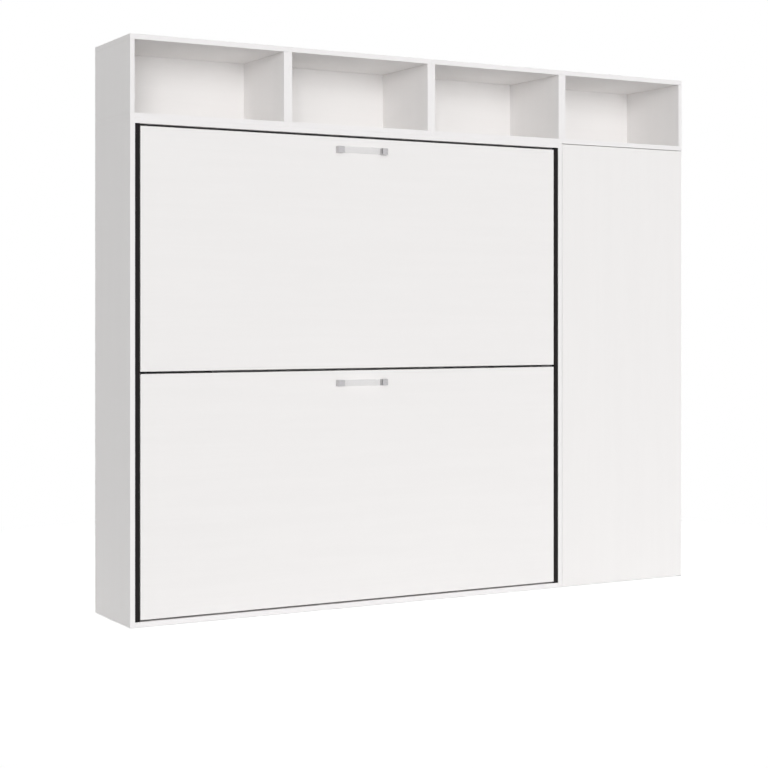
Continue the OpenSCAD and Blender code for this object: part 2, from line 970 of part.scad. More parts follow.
// Magnetic catch on the left side of the cupboard, and its plate on the door
module door_catch() {
    z = z_top / 2;
    color("#d8d6d2") {
        block([column_in[0], column_in[0] + catch_w], [y_column, y_column + catch_d],
              [z - catch_h / 2 + catch_ear, z + catch_h / 2 - catch_ear]);
        block([column_in[0], column_in[0] + catch_ear_t], [y_column + catch_ear_back, y_column + catch_d],
              [z - catch_h / 2, z + catch_h / 2]);
    }
}

module strike_plate() {
    reach = catch_h / 2 - catch_ear - strike_in;
    color("#a8aaad")
        block([column_in[0] + strike_in, column_in[0] + catch_w - strike_in],
              [y_front + board, y_column - strike_gap], [z_top / 2 - reach, z_top / 2 + reach]);
}

// ---------- Open boxes ----------

function cube_x(i) = x_left + (i - 1) * module_w;

// Four boards: the sides stand on the bottom board and carry the top board, with a hairline seam
module cube_case(i) {
    x = cube_x(i);
    y = [y_front, y_back];
    color("#efebec") {
        block([x, x + module_w], y, [z_top, z_top + board]);
        block([x, x + module_w], y, [z_top + cube_h - board, z_top + cube_h]);
        for (side = [x, x + module_w - cube_side])
            block([side, side + cube_side], y,
                  [z_top + board + seam, z_top + cube_h - board - seam]);
    }
}

module cube_back(i) {
    x = cube_x(i);
    color("#efebec")
        block([x + cube_side, x + module_w - cube_side], [y_back_panel, y_back_panel + back_t],
              [z_top + board, z_top + cube_h - board]);
}

module cube_1_case() { cube_case(1); }
module cube_1_back() { cube_back(1); }
module cube_2_case() { cube_case(2); }
module cube_2_back() { cube_back(2); }
module cube_3_case() { cube_case(3); }
module cube_3_back() { cube_back(3); }
module cube_4_case() { cube_case(4); }
module cube_4_back() { cube_back(4); }

bed_side_left();
bed_side_right();
bed_bottom();
bed_top();
bed_backs();
mid_shelf();
wall_rails();
filler_strips();
glides();
bed_pivots();
spring_studs();
lower_front();
lower_handle_posts();
lower_handle_bar();
lower_frame();
lower_frame_caps();
lower_slats();
lower_slat_holders();
lower_mattress();
lower_straps();
lower_spring_tubes();
lower_spring_rods();
leg_brackets();
leg_left();
leg_right();
upper_front();
upper_handle_posts();
upper_handle_bar();
upper_frame();
upper_frame_caps();
upper_slats();
upper_slat_holders();
upper_mattress();
upper_straps();
upper_spring_tubes();
upper_spring_rods();
guard_rail();
column_side_left();
column_side_right();
column_bottom();
column_top();
column_back();
column_shelves();
shelf_pins();
hanging_rail();
rail_sockets();
door();
door_bushes();
door_pivots();
door_catch();
strike_plate();
cube_1_case();
cube_1_back();
cube_2_case();
cube_2_back();
cube_3_case();
cube_3_back();
cube_4_case();
cube_4_back();
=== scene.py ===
import json
import math
from functools import partial
import bmesh
import bpy
from mathutils import Matrix, Vector


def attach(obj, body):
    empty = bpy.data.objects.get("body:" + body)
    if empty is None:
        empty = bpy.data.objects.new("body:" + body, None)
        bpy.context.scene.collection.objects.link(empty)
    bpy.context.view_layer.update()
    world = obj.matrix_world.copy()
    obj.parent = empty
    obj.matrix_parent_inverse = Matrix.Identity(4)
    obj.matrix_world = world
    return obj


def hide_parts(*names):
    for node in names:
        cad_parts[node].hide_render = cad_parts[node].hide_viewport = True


# Bunk wall bed: white melamine unit, two beds lying lengthwise, cupboard, open boxes
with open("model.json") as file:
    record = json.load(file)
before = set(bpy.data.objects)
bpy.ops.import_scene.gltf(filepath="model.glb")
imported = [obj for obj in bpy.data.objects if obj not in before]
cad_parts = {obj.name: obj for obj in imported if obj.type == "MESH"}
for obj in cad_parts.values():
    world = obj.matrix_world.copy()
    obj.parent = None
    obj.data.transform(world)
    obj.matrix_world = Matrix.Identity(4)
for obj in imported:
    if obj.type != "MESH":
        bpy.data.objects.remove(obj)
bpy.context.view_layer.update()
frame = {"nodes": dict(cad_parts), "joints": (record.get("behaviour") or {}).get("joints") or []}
nodes = frame["nodes"]
scene = bpy.context.scene
print("frame loaded,", len(nodes), "nodes")


def linearColour(code):
    values = [int(code[i:i + 2], 16) / 255 for i in (1, 3, 5)]
    return [v / 12.92 if v <= 0.04045 else ((v + 0.055) / 1.055) ** 2.4 for v in values] + [1]


def settle(thing, **settings):
    for key, value in settings.items():
        setattr(thing, key, value)
    return thing


def feed(node, sockets):
    # an output, or a node's first output in use, is linked; a value, or a colour by its code, is set
    for key, value in sockets.items():
        if isinstance(value, bpy.types.Node):
            value = next(out for out in value.outputs if out.enabled)
        if isinstance(value, bpy.types.NodeSocket):
            node.id_data.links.new(value, node.inputs[key])
        else:
            node.inputs[key].default_value = linearColour(value) if isinstance(value, str) else value


def addNode(tree, kind, sockets=None, **settings):
    node = settle(tree.nodes.new("ShaderNode" + kind), **settings)
    feed(node, sockets or {})
    return node


# Camera, solved from the unit's own straight edges
camera = {"place": (-3.962, -6.8295, 1.304), "turn": -29.26, "lens": 78.91, "shiftY": -0.0889}
lensData = bpy.data.cameras.new("camera")
lensData.lens = camera["lens"]
lensData.shift_y = camera["shiftY"]
eye = bpy.data.objects.new("camera", lensData)
eye.location = camera["place"]
eye.rotation_euler = (math.radians(90), 0, math.radians(camera["turn"]))
scene.collection.objects.link(eye)
scene.camera = eye
scene.view_settings.view_transform = "Standard"

# Studio: even white surround and large soft lamps, each with its power, where it comes from, and its spread in degrees
studio = {"surround": 0.2, "floorSize": 7.0, "floorPaint": "#BEBEBE", "floorWhite": (2.1, 3.4), "floorGlow": 0.55}
lamps = {"frontLamp": (0.58, (0, -0.95, 0.3), 55), "nearLamp": (1.22, (-0.4, -0.9, 0.1), 25),
         "leftLamp": (0.44, (-0.92, -0.3, 0.25), 55), "lowLamp": (0.44, (0, -0.93, -0.35), 55),
         "rearLamp": (1.4, (0.1, 0.95, 0.3), 60), "rightLamp": (1.2, (0.85, 0.45, 0.3), 60)}
white = "#FFFFFF"
world = bpy.data.worlds.new("studio")
scene.world = world
world.use_nodes = True
world.node_tree.nodes.clear()
add = partial(addNode, world.node_tree)
path = add("LightPath").outputs
sees = add("Math", {0: path["Is Camera Ray"], 1: path["Is Glossy Ray"]}, operation="MAXIMUM")
sees = add("Math", {0: sees, 1: path["Is Transmission Ray"]}, operation="MAXIMUM")
around = add("Background", {"Color": white, "Strength": studio["surround"]})
seen = add("Background", {"Color": white, "Strength": 1.0})
add("OutputWorld", {0: add("MixShader", {0: sees, 1: around, 2: seen})})

for name, (power, comesFrom, spread) in lamps.items():
    lamp = settle(bpy.data.lights.new(name, "SUN"), energy=power, angle=math.radians(spread))
    lamp.cycles.use_multiple_importance_sampling = False  # so that all of its light passes the floor alike
    lampObject = bpy.data.objects.new(name, lamp)
    lampObject.rotation_euler = Vector(comesFrom).to_track_quat("Z", "Y").to_euler()
    lampObject.visible_glossy = lampObject.visible_transmission = False  # metal and acrylic show the surround alone
    scene.collection.objects.link(lampObject)

# Floor: pale paint, white to the camera, fading into the surround a few metres away
half = studio["floorSize"] / 2
mesh = bpy.data.meshes.new("floor")
mesh.from_pydata([(-half, -half, 0), (half, -half, 0), (half, half, 0), (-half, half, 0)], [], [(0, 1, 2, 3)])
floor = bpy.data.objects.new("floor", mesh)
scene.collection.objects.link(floor)
floor.visible_shadow = False  # the low lamp stands for light thrown back by the room, so the floor lets it by
paint = bpy.data.materials.new("pale floor paint")
paint.use_nodes = True
paint.node_tree.nodes.clear()
add = partial(addNode, paint.node_tree)
path = add("LightPath").outputs
away = add("VectorMath", {0: add("TexCoord").outputs["Object"]}, operation="LENGTH")
fade = add("MapRange", {0: away, "From Min": studio["floorWhite"][0], "From Max": studio["floorWhite"][1]},
           interpolation_type="SMOOTHSTEP")
sees = add("Math", {0: path["Is Camera Ray"], 1: path["Is Glossy Ray"]}, operation="MAXIMUM")
fade = add("Math", {0: fade, 1: sees}, operation="MULTIPLY")
shade = add("Mix", {0: sees, 6: studio["floorPaint"], 7: white}, data_type="RGBA")
glow = add("Math", {0: sees, 1: studio["floorGlow"]}, operation="MULTIPLY")
lit = add("AddShader", {0: add("BsdfDiffuse", {"Color": shade}),
                        1: add("Emission", {"Color": white, "Strength": glow})})
plain = add("Emission", {"Color": white, "Strength": 1.0})
add("OutputMaterial", {0: add("MixShader", {0: fade, 1: lit, 2: plain})})
mesh.materials.append(paint)
print("camera, lamps and floor are set")


def startMaterial(name, sockets):
    made = bpy.data.materials.new(name)
    made.use_nodes = True
    shader = made.node_tree.nodes["Principled BSDF"]
    feed(shader, sockets)
    return made, shader, partial(addNode, made.node_tree)


def dress(add, shader, amount, colours, shine, rough, height, deepMm, strength=0.5, spread=(0.3, 0.7)):
    # amount runs through the colours, shine through the roughness, and height stands up by deepMm
    tint = add("Mix", {0: amount, 6: colours[0], 7: colours[1]}, data_type="RGBA")
    dull = add("MapRange", {0: shine, "From Min": spread[0], "From Max": spread[1], "To Min": rough[0],
                            "To Max": rough[1]})
    bump = add("Bump", {"Height": height, "Strength": strength, "Distance": deepMm / 1000})
    feed(shader, {"Base Color": tint, "Roughness": dull, "Normal": bump})
    return tint, dull


def perMetre(*mm):
    return [1000 / m for m in mm]


# Melamine-faced board, pressed with a shallow ash grain: white, satin, so the grain shows as faint
# long streaks. The ABS edging that closes it is plainer and a little smoother. The patterns are streak, figure
# and pore, each with its size in mm, detail and coarseness.
melamine = {"face": "#F7F5F4", "streak": "#F6F4F3", "edging": "#F7F5F5", "rough": (0.40, 0.52), "edgeRough": 0.36,
            "driftMm": (160, 700, 1), "driftBy": (0.016, 0, 0), "poreDeepMm": 0.12,
            "patterns": (((9, 420, 1), 4.0, 0.62), ((55, 900, 1), 2.0, 0.5), ((1.6, 38, 1), 2.0, 0.7))}


def makeMelamine(name, grainAxis=None):
    # grainAxis is set for a board seen face-on; without it the board is a carcass board, seen edge-on from the front
    made, shader, add = startMaterial(name, {"IOR": 1.5})
    place = add("TexCoord").outputs
    spot = add("SeparateXYZ", {0: place["Object"]}).outputs
    normal = add("VectorMath", {0: place["Normal"]}, operation="ABSOLUTE")
    normal = add("SeparateXYZ", {0: normal}).outputs
    isX, isY = (add("Math", {0: normal[axis], 1: 0.6}, operation="GREATER_THAN") for axis in (0, 1))
    if grainAxis is None:  # uprights have their grain upright, level boards along X
        along, across, edge = add("Mix", {0: isX, 2: spot[0], 3: spot[2]}), spot[1], isY
    else:
        along, across = spot[grainAxis], spot[2 - grainAxis]
        edge = add("Math", {0: 1.0, 1: isY}, operation="SUBTRACT")
    grain = add("CombineXYZ", {0: across, 1: along})
    drift = add("Mapping", {0: grain, "Scale": perMetre(*melamine["driftMm"])})
    drift = add("TexNoise", {0: drift, "Scale": 1.0, "Detail": 2.0})
    pushed = add("VectorMath", {0: drift.outputs["Color"], 1: melamine["driftBy"]}, operation="MULTIPLY")
    grain = add("VectorMath", {0: grain, 1: pushed}, operation="ADD")
    looks = []
    for mm, detail, coarse in melamine["patterns"]:
        scaled = add("Mapping", {0: grain, "Scale": perMetre(*mm)})
        looks.append(add("TexNoise", {0: scaled, "Scale": 1.0, "Detail": detail, "Roughness": coarse}))
    streak, figure, pore = looks
    both = add("Math", {0: streak, 1: figure}, operation="ADD")
    amount = add("MapRange", {0: both, "From Min": 0.82, "From Max": 1.22}, interpolation_type="SMOOTHSTEP")
    pressed = add("MapRange", {0: pore, "From Min": 0.32, "From Max": 0.55})
    faceOnly = add("Math", {0: 1.0, 1: edge}, operation="SUBTRACT")
    pressed = add("Math", {0: pressed, 1: faceOnly}, operation="MULTIPLY")
    tint, dull = dress(add, shader, amount, (melamine["streak"], melamine["face"]), pore, melamine["rough"], pressed,
                       melamine["poreDeepMm"])
    tint = add("Mix", {0: edge, 6: tint, 7: melamine["edging"]}, data_type="RGBA")
    dull = add("Mix", {0: edge, 2: dull, 3: melamine["edgeRough"]})
    feed(shader, {"Base Color": tint, "Roughness": dull})
    return made


whiteCarcass = makeMelamine("white melamine board, ash pressed")
whiteFront = makeMelamine("white melamine front, ash pressed lengthwise", 0)
whiteDoor = makeMelamine("white melamine door, ash pressed upright", 2)
whiteBack = makeMelamine("white melamine back panel", 0)
print("board materials are made")


def speckled(name, colours, grainMm, rough, bumpMm, sockets=None):
    # a plain surface whose colour and gloss wander a little, with a fine bump
    made, shader, add = startMaterial(name, sockets or {})
    place = add("TexCoord").outputs["Object"]
    wide = add("TexNoise", {0: place, "Scale": 1000 / grainMm / 14, "Detail": 3.0})
    fine = add("TexNoise", {0: place, "Scale": 1000 / grainMm, "Detail": 3.0, "Roughness": 0.6})
    mixed = add("Math", {0: wide, 1: fine}, operation="MULTIPLY")
    amount = add("MapRange", {0: mixed, "From Min": 0.12, "From Max": 0.42})
    dress(add, shader, amount, colours, wide, rough, fine, bumpMm, 0.6)
    return made


# Hardboard, white-lacquered on one side by a roller: matte, faint mottling from the fibres. Its rear is left raw:
# brown fibres, clouded, with the print of the press screen, drawn coarser than its 1 mm
hardboard = speckled("white lacquered hardboard", ("#E8E4E1", "#EEEBE8"), 2.5, (0.55, 0.7), 0.12)
rawRear = {"pale": "#A68863", "deep": "#735A3E", "screenMm": 2.6, "screenShare": 0.2,
           "patterns": (((18, 1.5, 14), 5.0, 0.7, 0.55), ((190, 190, 120), 4.0, 0.6, 0.3))}
shader = hardboard.node_tree.nodes["Principled BSDF"]
add = partial(addNode, hardboard.node_tree)
place = add("TexCoord").outputs
screen = add("TexVoronoi", {0: place["Object"], "Scale": 1000 / rawRear["screenMm"], "Randomness": 0.0},
             distance="CHEBYCHEV")
amount = add("Math", {0: screen, 1: rawRear["screenShare"]}, operation="MULTIPLY")
for mm, detail, coarse, share in rawRear["patterns"]:
    scaled = add("Mapping", {0: place["Object"], "Scale": perMetre(*mm)})
    spread = add("TexNoise", {0: scaled, "Scale": 1.0, "Detail": detail, "Roughness": coarse})
    spread = add("MapRange", {0: spread, "From Min": 0.33, "From Max": 0.67, "To Max": share})
    amount = add("Math", {0: amount, 1: spread}, operation="ADD")
raw = add("Mix", {0: amount, 6: rawRear["deep"], 7: rawRear["pale"]}, data_type="RGBA")
rear = add("SeparateXYZ", {0: place["Normal"]}).outputs[1]
rear = add("Math", {0: rear, 1: 0.6}, operation="GREATER_THAN")
lacquer = shader.inputs["Base Color"].links[0].from_socket
feed(shader, {"Base Color": add("Mix", {0: rear, 6: lacquer, 7: raw}, data_type="RGBA")})
# Black-brown melamine strip: satin, its grain hardly shows
darkStrip = speckled("dark melamine strip", ("#211E1F", "#282425"), 3.0, (0.5, 0.6), 0.05, {"Specular IOR Level": 0.1})
# Bright zinc plate, passivated: mid-grey metal with a clouded crystal pattern
zinc = speckled("zinc plated steel", ("#A9ABAE", "#BBBDC0"), 1.6, (0.28, 0.42), 0.02, {"Metallic": 1.0})
# Powder coat over welded steel tube: slight orange peel
powderGrey = speckled("grey powder coat", ("#55585C", "#5D6064"), 1.8, (0.38, 0.5), 0.05)
powderBlack = speckled("black powder coat", ("#1F1F21", "#28282A"), 1.8, (0.34, 0.46), 0.05)
# Injection-moulded nylon, polyethylene and polypropylene: fine spark-eroded texture
blackPlastic = speckled("black polypropylene", ("#2B2B2D", "#323234"), 1.0, (0.45, 0.58), 0.04)
greyPlastic = speckled("grey polyethylene glide", ("#5A5A5A", "#636363"), 1.0, (0.5, 0.62), 0.04)
palePlastic = speckled("natural nylon", ("#D8D6D2", "#E2E0DC"), 1.0, (0.4, 0.5), 0.03)
whitePlastic = speckled("white polypropylene", ("#E9E7E6", "#F0EEED"), 1.0, (0.42, 0.55), 0.03)
# Moulded rubber: matte black, slightly mottled
rubber = speckled("black moulded rubber", ("#1B1B1C", "#232324"), 1.2, (0.6, 0.78), 0.06)
print("plain materials are made")


def drawnMetal(name, colours, rough, linesMm, bumpMm):
    # fine brushed or drawn lines run along the part
    made, shader, add = startMaterial(name, {"Metallic": 1.0})
    place = add("TexCoord").outputs["Object"]
    lines = add("Mapping", {0: place, "Scale": perMetre(*linesMm)})
    lines = add("TexNoise", {0: lines, "Scale": 1.0, "Detail": 3.0})
    dress(add, shader, lines, colours, lines, rough, lines, bumpMm, 0.4)
    return made


# Satin nickel on cast zinc, and chrome on drawn steel tube: bright metals, one softly, one sharply reflecting
nickelPost = drawnMetal("satin nickelled zinc", ("#BEBCBE", "#C8C6C8"), (0.26, 0.36), (20, 20, 3), 0.01)
brightSteel = drawnMetal("chromed steel tube", ("#C4C6C8", "#D2D4D6"), (0.1, 0.2), (30, 3, 3), 0.01)

# Beech, laminated and lacquered: warm, straight grain with short dark flecks and glued layers at the edges
beechLook = {"pale": "#E3CDA6", "deep": "#CFAE7E", "fleck": "#A97F52", "glue": "#A88A60", "layerMm": 1.6,
             "glueMm": 0.22, "grainMm": (3.5, 3.5, 260), "fleckMm": (0.9, 0.9, 7), "rough": (0.32, 0.48),
             "deepMm": 0.08}
beech, shader, add = startMaterial("laminated beech, lacquered", {})
place = add("TexCoord").outputs
grain = add("Mapping", {0: place["Object"], "Scale": perMetre(*beechLook["grainMm"])})
grain = add("TexNoise", {0: grain, "Scale": 1.0, "Detail": 4.0})
fleck = add("Mapping", {0: place["Object"], "Scale": perMetre(*beechLook["fleckMm"])})
fleck = add("TexNoise", {0: fleck, "Scale": 1.0, "Detail": 1.0})
amount = add("MapRange", {0: grain, "From Min": 0.34, "From Max": 0.66})
tint, dull = dress(add, shader, amount, (beechLook["pale"], beechLook["deep"]), grain, beechLook["rough"], grain,
                   beechLook["deepMm"], 0.4, (0, 1))
fleck = add("MapRange", {0: fleck, "From Min": 0.66, "From Max": 0.74, "To Max": 0.7})
tint = add("Mix", {0: fleck, 6: tint, 7: beechLook["fleck"]}, data_type="RGBA")
layer = add("SeparateXYZ", {0: place["Object"]}).outputs[1]
layer = add("Math", {0: layer, 1: beechLook["layerMm"] / 1000}, operation="MODULO")
layer = add("Math", {0: layer, 1: beechLook["glueMm"] / 1000}, operation="LESS_THAN")
side = add("VectorMath", {0: place["Normal"]}, operation="ABSOLUTE")
side = add("SeparateXYZ", {0: side}).outputs[0]
side = add("Math", {0: side, 1: 0.8}, operation="GREATER_THAN")
layer = add("Math", {0: layer, 1: side}, operation="MULTIPLY")
tint = add("Mix", {0: layer, 6: tint, 7: beechLook["glue"]}, data_type="RGBA")
feed(shader, {"Base Color": tint})

# Cast acrylic, sawn and flame-polished: clear with a slight grey tinge, hairline scratches; light passes through
clearLook = {"pale": "#F1F1F1", "deep": "#EAEAEB", "passes": "#EEEEEE", "scratchMm": (30, 1.5, 0.7), "tintMm": 25,
             "rough": (0.03, 0.12)}
acrylic, shader, add = startMaterial("clear cast acrylic", {"IOR": 1.49, "Transmission Weight": 1.0})
place = add("TexCoord").outputs["Object"]
scratch = add("Mapping", {0: place, "Scale": perMetre(*clearLook["scratchMm"])})
scratch = add("TexNoise", {0: scratch, "Scale": 1.0, "Detail": 3.0})
cloud = add("TexNoise", {0: place, "Scale": 1000 / clearLook["tintMm"], "Detail": 1.0})
tint = add("Mix", {0: cloud, 6: clearLook["deep"], 7: clearLook["pale"]}, data_type="RGBA")
dull = add("MapRange", {0: scratch, "From Min": 0.5, "From Max": 0.75, "To Min": clearLook["rough"][0],
                        "To Max": clearLook["rough"][1]})
feed(shader, {"Base Color": tint, "Roughness": dull})
shadow = add("LightPath").outputs["Is Shadow Ray"]
passes = add("BsdfTransparent", {"Color": clearLook["passes"]})
both = add("MixShader", {0: shadow, 1: shader, 2: passes})
feed(acrylic.node_tree.nodes["Material Output"], {0: both})
print("metal, beech and acrylic are made")


def finishNode(name, material, edgeMm):
    # a CAD node as it is, its edges softened by a small bevel
    node = nodes[name]
    node.data.materials.clear()
    node.data.materials.append(material)
    for polygon in node.data.polygons:
        polygon.material_index = 0
    custom = node.data.attributes.get("custom_normal")
    if custom:
        node.data.attributes.remove(custom)
    node.data.shade_smooth()
    settle(node.modifiers.new("weld", "WELD"), merge_threshold=0.00002)
    settle(node.modifiers.new("flat", "DECIMATE"), decimate_type="DISSOLVE", angle_limit=math.radians(0.6))
    settle(node.modifiers.new("edges", "BEVEL"), width=edgeMm / 1000, segments=2, limit_method="ANGLE",
           angle_limit=math.radians(40), harden_normals=True, use_clamp_overlap=True)


beds = ("lower", "upper")
finishes = (  # material, softened edge in mm, nodes
    (whiteCarcass, 0.9, "bed_side_left bed_side_right column_side_left column_side_right column_shelves"),
    (whiteCarcass, 0.9, "cube_1_case cube_2_case cube_3_case cube_4_case"),
    (whiteCarcass, 0.7, "bed_bottom bed_top mid_shelf column_bottom column_top"),
    (whiteBack, 0.3, "cube_1_back cube_2_back cube_3_back cube_4_back"), (whiteBack, 0.7, "wall_rails"),
    (hardboard, 0.3, "bed_backs column_back"), (whiteDoor, 0.9, "door"), (darkStrip, 0.6, "filler_strips"),
    (greyPlastic, 0.8, "glides"), (palePlastic, 0.3, "door_bushes"), (palePlastic, 1.0, "door_catch"),
    (zinc, 0.5, "bed_pivots"), (zinc, 0.4, "spring_studs shelf_pins strike_plate"), (zinc, 0.3, "door_pivots"),
    (brightSteel, 0.3, "hanging_rail"), (brightSteel, 0.6, "rail_sockets"), (powderGrey, 0.5, "leg_brackets"),
    (powderGrey, 0.3, "guard_rail"), (powderBlack, 0.7, "leg_left leg_right"))
bedFinishes = {"front": (whiteFront, 1.0), "handle_posts": (nickelPost, 1.2), "handle_bar": (acrylic, 0.6),
               "frame": (powderGrey, 1.2), "frame_caps": (blackPlastic, 0.8), "slats": (beech, 1.6),
               "slat_holders": (blackPlastic, 1.2), "spring_tubes": (powderBlack, 0.4),
               "spring_rods": (brightSteel, 0.3)}
for material, edge, names in finishes:
    for name in names.split():
        finishNode(name, material, edge)
for bed in beds:
    for name, (material, edge) in bedFinishes.items():
        finishNode(f"{bed}_{name}", material, edge)
print("CAD nodes are finished")


def newShape():
    return {"points": [], "faces": [], "kinds": []}


def addTo(shape, part, move, kind=0):
    points, faces = part
    start = len(shape["points"])
    shape["points"] += [tuple(move @ Vector(p)) for p in points]
    shape["faces"] += [[start + i for i in face] for face in faces]
    shape["kinds"] += [kind] * len(faces)


def joinRings(rings, closed=False):
    faces = []
    for one, two in list(zip(rings, rings[1:])) + ([(rings[-1], rings[0])] if closed else []):
        count = max(len(one), len(two))
        for i in range(count):
            j = (i + 1) % count
            face = [one[i % len(one)], one[j % len(one)], two[j % len(two)], two[i % len(two)]]
            faces.append(list(dict.fromkeys(face)))
    return faces


def skin(rings, closed=False):
    # an open row of rings gets a face at both ends
    return joinRings(rings, closed) + ([] if closed else [rim for rim in (rings[0], rings[-1]) if len(rim) > 1])


def lathe(profile, count=24, hollow=False):
    # profile is radius and height, from bottom to top; a hollow one runs all the way round its own wall
    points, rings = [], []
    for radius, height in profile:
        here = ring(radius, count) if radius > 1e-6 else [(0, 0)]
        rings.append([len(points) + i for i in range(len(here))])
        points += [(x, y, height) for x, y in here]
    return points, skin(rings, hollow)


def extrude(outline, low, high, soft):
    # outline is a list of x and y around a centre; soft pulls the rims in for a small chamfer
    cx, cy = (sum(p[axis] for p in outline) / len(outline) for axis in (0, 1))
    pull = 1 - soft / max(max(abs(x - cx), abs(y - cy)) for x, y in outline)
    levels = [(low, pull), (low + soft, 1), (high - soft, 1), (high, pull)] if soft else [(low, 1), (high, 1)]
    count = len(outline)
    points = [(cx + (x - cx) * k, cy + (y - cy) * k, z) for z, k in levels for x, y in outline]
    rings = [list(range(n * count, (n + 1) * count)) for n in range(len(levels))]
    return points, skin(rings)


def rounded(length, width, radius, steps=6):
    points = []
    for sx, sy, start in ((1, 1, 0), (-1, 1, 90), (-1, -1, 180), (1, -1, 270)):
        for i in range(steps + 1):
            t = math.radians(start + 90 * i / steps)
            points.append((sx * (length / 2 - radius) + radius * math.cos(t),
                           sy * (width / 2 - radius) + radius * math.sin(t)))
    return points


def sweep(path, section, up, closed=False, swell=None):
    # section runs sideways and along up; swell scales it along the path
    path = [Vector(p) for p in path]
    up = Vector(up).normalized()
    points, rings, last = [], [], len(path) - 1
    for n, spot in enumerate(path):
        before = path[n - 1] if n or closed else spot
        after = path[(n + 1) % len(path)] if n < last or closed else spot
        ahead = (after - before).normalized()
        side = ahead.cross(up)
        side = side.normalized() if side.length > 1e-6 else ahead.orthogonal().normalized()
        lift = side.cross(ahead).normalized()
        k = swell(n / max(last, 1)) if swell else 1
        rings.append(list(range(len(points), len(points) + len(section))))
        points += [tuple(spot + side * s * k + lift * t * k) for s, t in section]
    return points, skin(rings, closed)


def ring(radius, count=10, tall=None):
    turns = [2 * math.pi * i / count for i in range(count)]
    return [(radius * math.cos(t), (tall or radius) * math.sin(t)) for t in turns]


def makePiece(name, shape, materials, body, sharp=38, replaced=()):
    # shape is in metres, in the frame's own place
    mesh = bpy.data.meshes.new(name)
    mesh.from_pydata(shape["points"], [], shape["faces"])
    for material in materials:
        mesh.materials.append(material)
    mesh.polygons.foreach_set("material_index", shape["kinds"])
    work = bmesh.new()
    work.from_mesh(mesh)
    bmesh.ops.recalc_face_normals(work, faces=work.faces)
    work.to_mesh(mesh)
    work.free()
    mesh.shade_smooth()
    mesh.set_sharp_from_angle(angle=math.radians(sharp))
    piece = bpy.data.objects.new(name, mesh)
    scene.collection.objects.link(piece)
    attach(piece, body)
    if replaced:
        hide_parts(*replaced)


def placed(spot, direction=(0, 0, 1), turn=0):
    # from a part made in mm along Z to its spot in mm, turned to direction and by turn degrees about it, in metres
    return Matrix.Scale(0.001, 4) @ Matrix.Translation(Vector(spot)) \
        @ Vector(direction).to_track_quat("Z", "Y").to_matrix().to_4x4() @ Matrix.Rotation(math.radians(turn), 4, "Z")


pivots = {joint["child"]: Vector(joint["pos_m"]) * 1000 for joint in frame["joints"]
          if joint["name"].endswith("bed_fold")}


def bedSpot(bed, x, through, across):
    # a bed's own place in mm: along the unit, rearward and upward from the pivots
    pivot = pivots[bed + "_bed"]
    return Vector((x, pivot.y + through, pivot.z + across))


def bedShift(bed):
    # from a bed's own mm to metres in the frame
    return Matrix.Scale(0.001, 4) @ Matrix.Translation(bedSpot(bed, 0, 0, 0))


def makeFabric(name, colours, threadMm, driftMm, deepMm, rough, sheen, stitches=None):
    # yarns crossing at threadMm; the sum of three waves gives the crossing on every side of a piece
    made, shader, add = startMaterial(name, {"Sheen Weight": sheen, "Sheen Roughness": 0.45,
                                             "Specular IOR Level": 0.25})
    place = add("TexCoord").outputs["Object"]
    yarns = 0.0
    for axis in "XYZ":
        wave = add("TexWave", {0: place, "Scale": 100 * math.pi / threadMm, "Distortion": 0.6, "Detail": 1.0,
                               "Detail Scale": 0.7}, bands_direction=axis)
        yarns = add("Math", {0: yarns, 1: wave.outputs["Fac"]}, operation="ADD")
    drift = add("TexNoise", {0: place, "Scale": 1000 / driftMm, "Detail": 4.0})
    lint = add("TexNoise", {0: place, "Scale": 2000 / threadMm, "Detail": 2.0})
    amount = add("MapRange", {0: yarns, "From Min": 0.6, "From Max": 2.4, "To Min": 0.15, "To Max": 0.75})
    amount = add("Math", {0: amount, 1: drift}, operation="MULTIPLY")
    amount = add("Math", {0: amount, 1: lint}, operation="ADD")
    amount = add("MapRange", {0: amount, "From Min": 0.4, "From Max": 1.05})
    height, seams = yarns, []
    if stitches:  # seams run where a step of the stored place is whole: one sum and one difference of its two axes
        kept = add("Attribute", attribute_name="cutPlace").outputs["Vector"]
        kept = add("SeparateXYZ", {0: kept}).outputs
        sums = [add("Math", {0: kept[0], 1: kept[1]}, operation=kind) for kind in ("ADD", "SUBTRACT")]
        for here, along in (sums, sums[::-1]):
            away = add("Math", {0: here, 1: float(stitches["every"])}, operation="DIVIDE")
            away = add("Math", {0: away, 1: 1.0}, operation="PINGPONG")
            # it peaks at 1 on every other seam, so both ends of its range are seams
            away = add("Math", {0: away, 1: 0.5}, operation="PINGPONG")
            near = add("Math", {0: away, 1: stitches["half"]}, operation="LESS_THAN")
            step = add("Math", {0: along, 1: stitches["length"]}, operation="DIVIDE")
            step = add("Math", {0: step}, operation="FRACT")
            step = add("Math", {0: step, 1: 0.7}, operation="LESS_THAN")
            near = add("Math", {0: near, 1: step}, operation="MULTIPLY")
            seams.append(near)
            near = add("Math", {0: near, 1: 2.0}, operation="MULTIPLY")
            height = add("Math", {0: height, 1: near}, operation="ADD")
    tint, dull = dress(add, shader, amount, colours, lint, rough, height, deepMm, 0.7, (0, 1))
    for near in seams:
        tint = add("Mix", {0: near, 6: tint, 7: stitches["colour"]}, data_type="RGBA")
    feed(shader, {"Base Color": tint})
    return made


# Mattress for 90 x 200 cm: foam in a quilted cover, with a sewn border, bound edges, handles and vents
mattress = {"cells": (100, 45), "cellMm": 19.92, "middle": (-365, 114, 245), "cornerMm": 45, "rimMm": 68.5,
            "crownMm": 4.5, "everyCells": 6, "sinkMm": 4.0, "rows": 6, "pressure": 9.0, "capMm": 9,
            "limitMm": (1000, 450, 75), "bindingMm": (3.8, 5.2)}
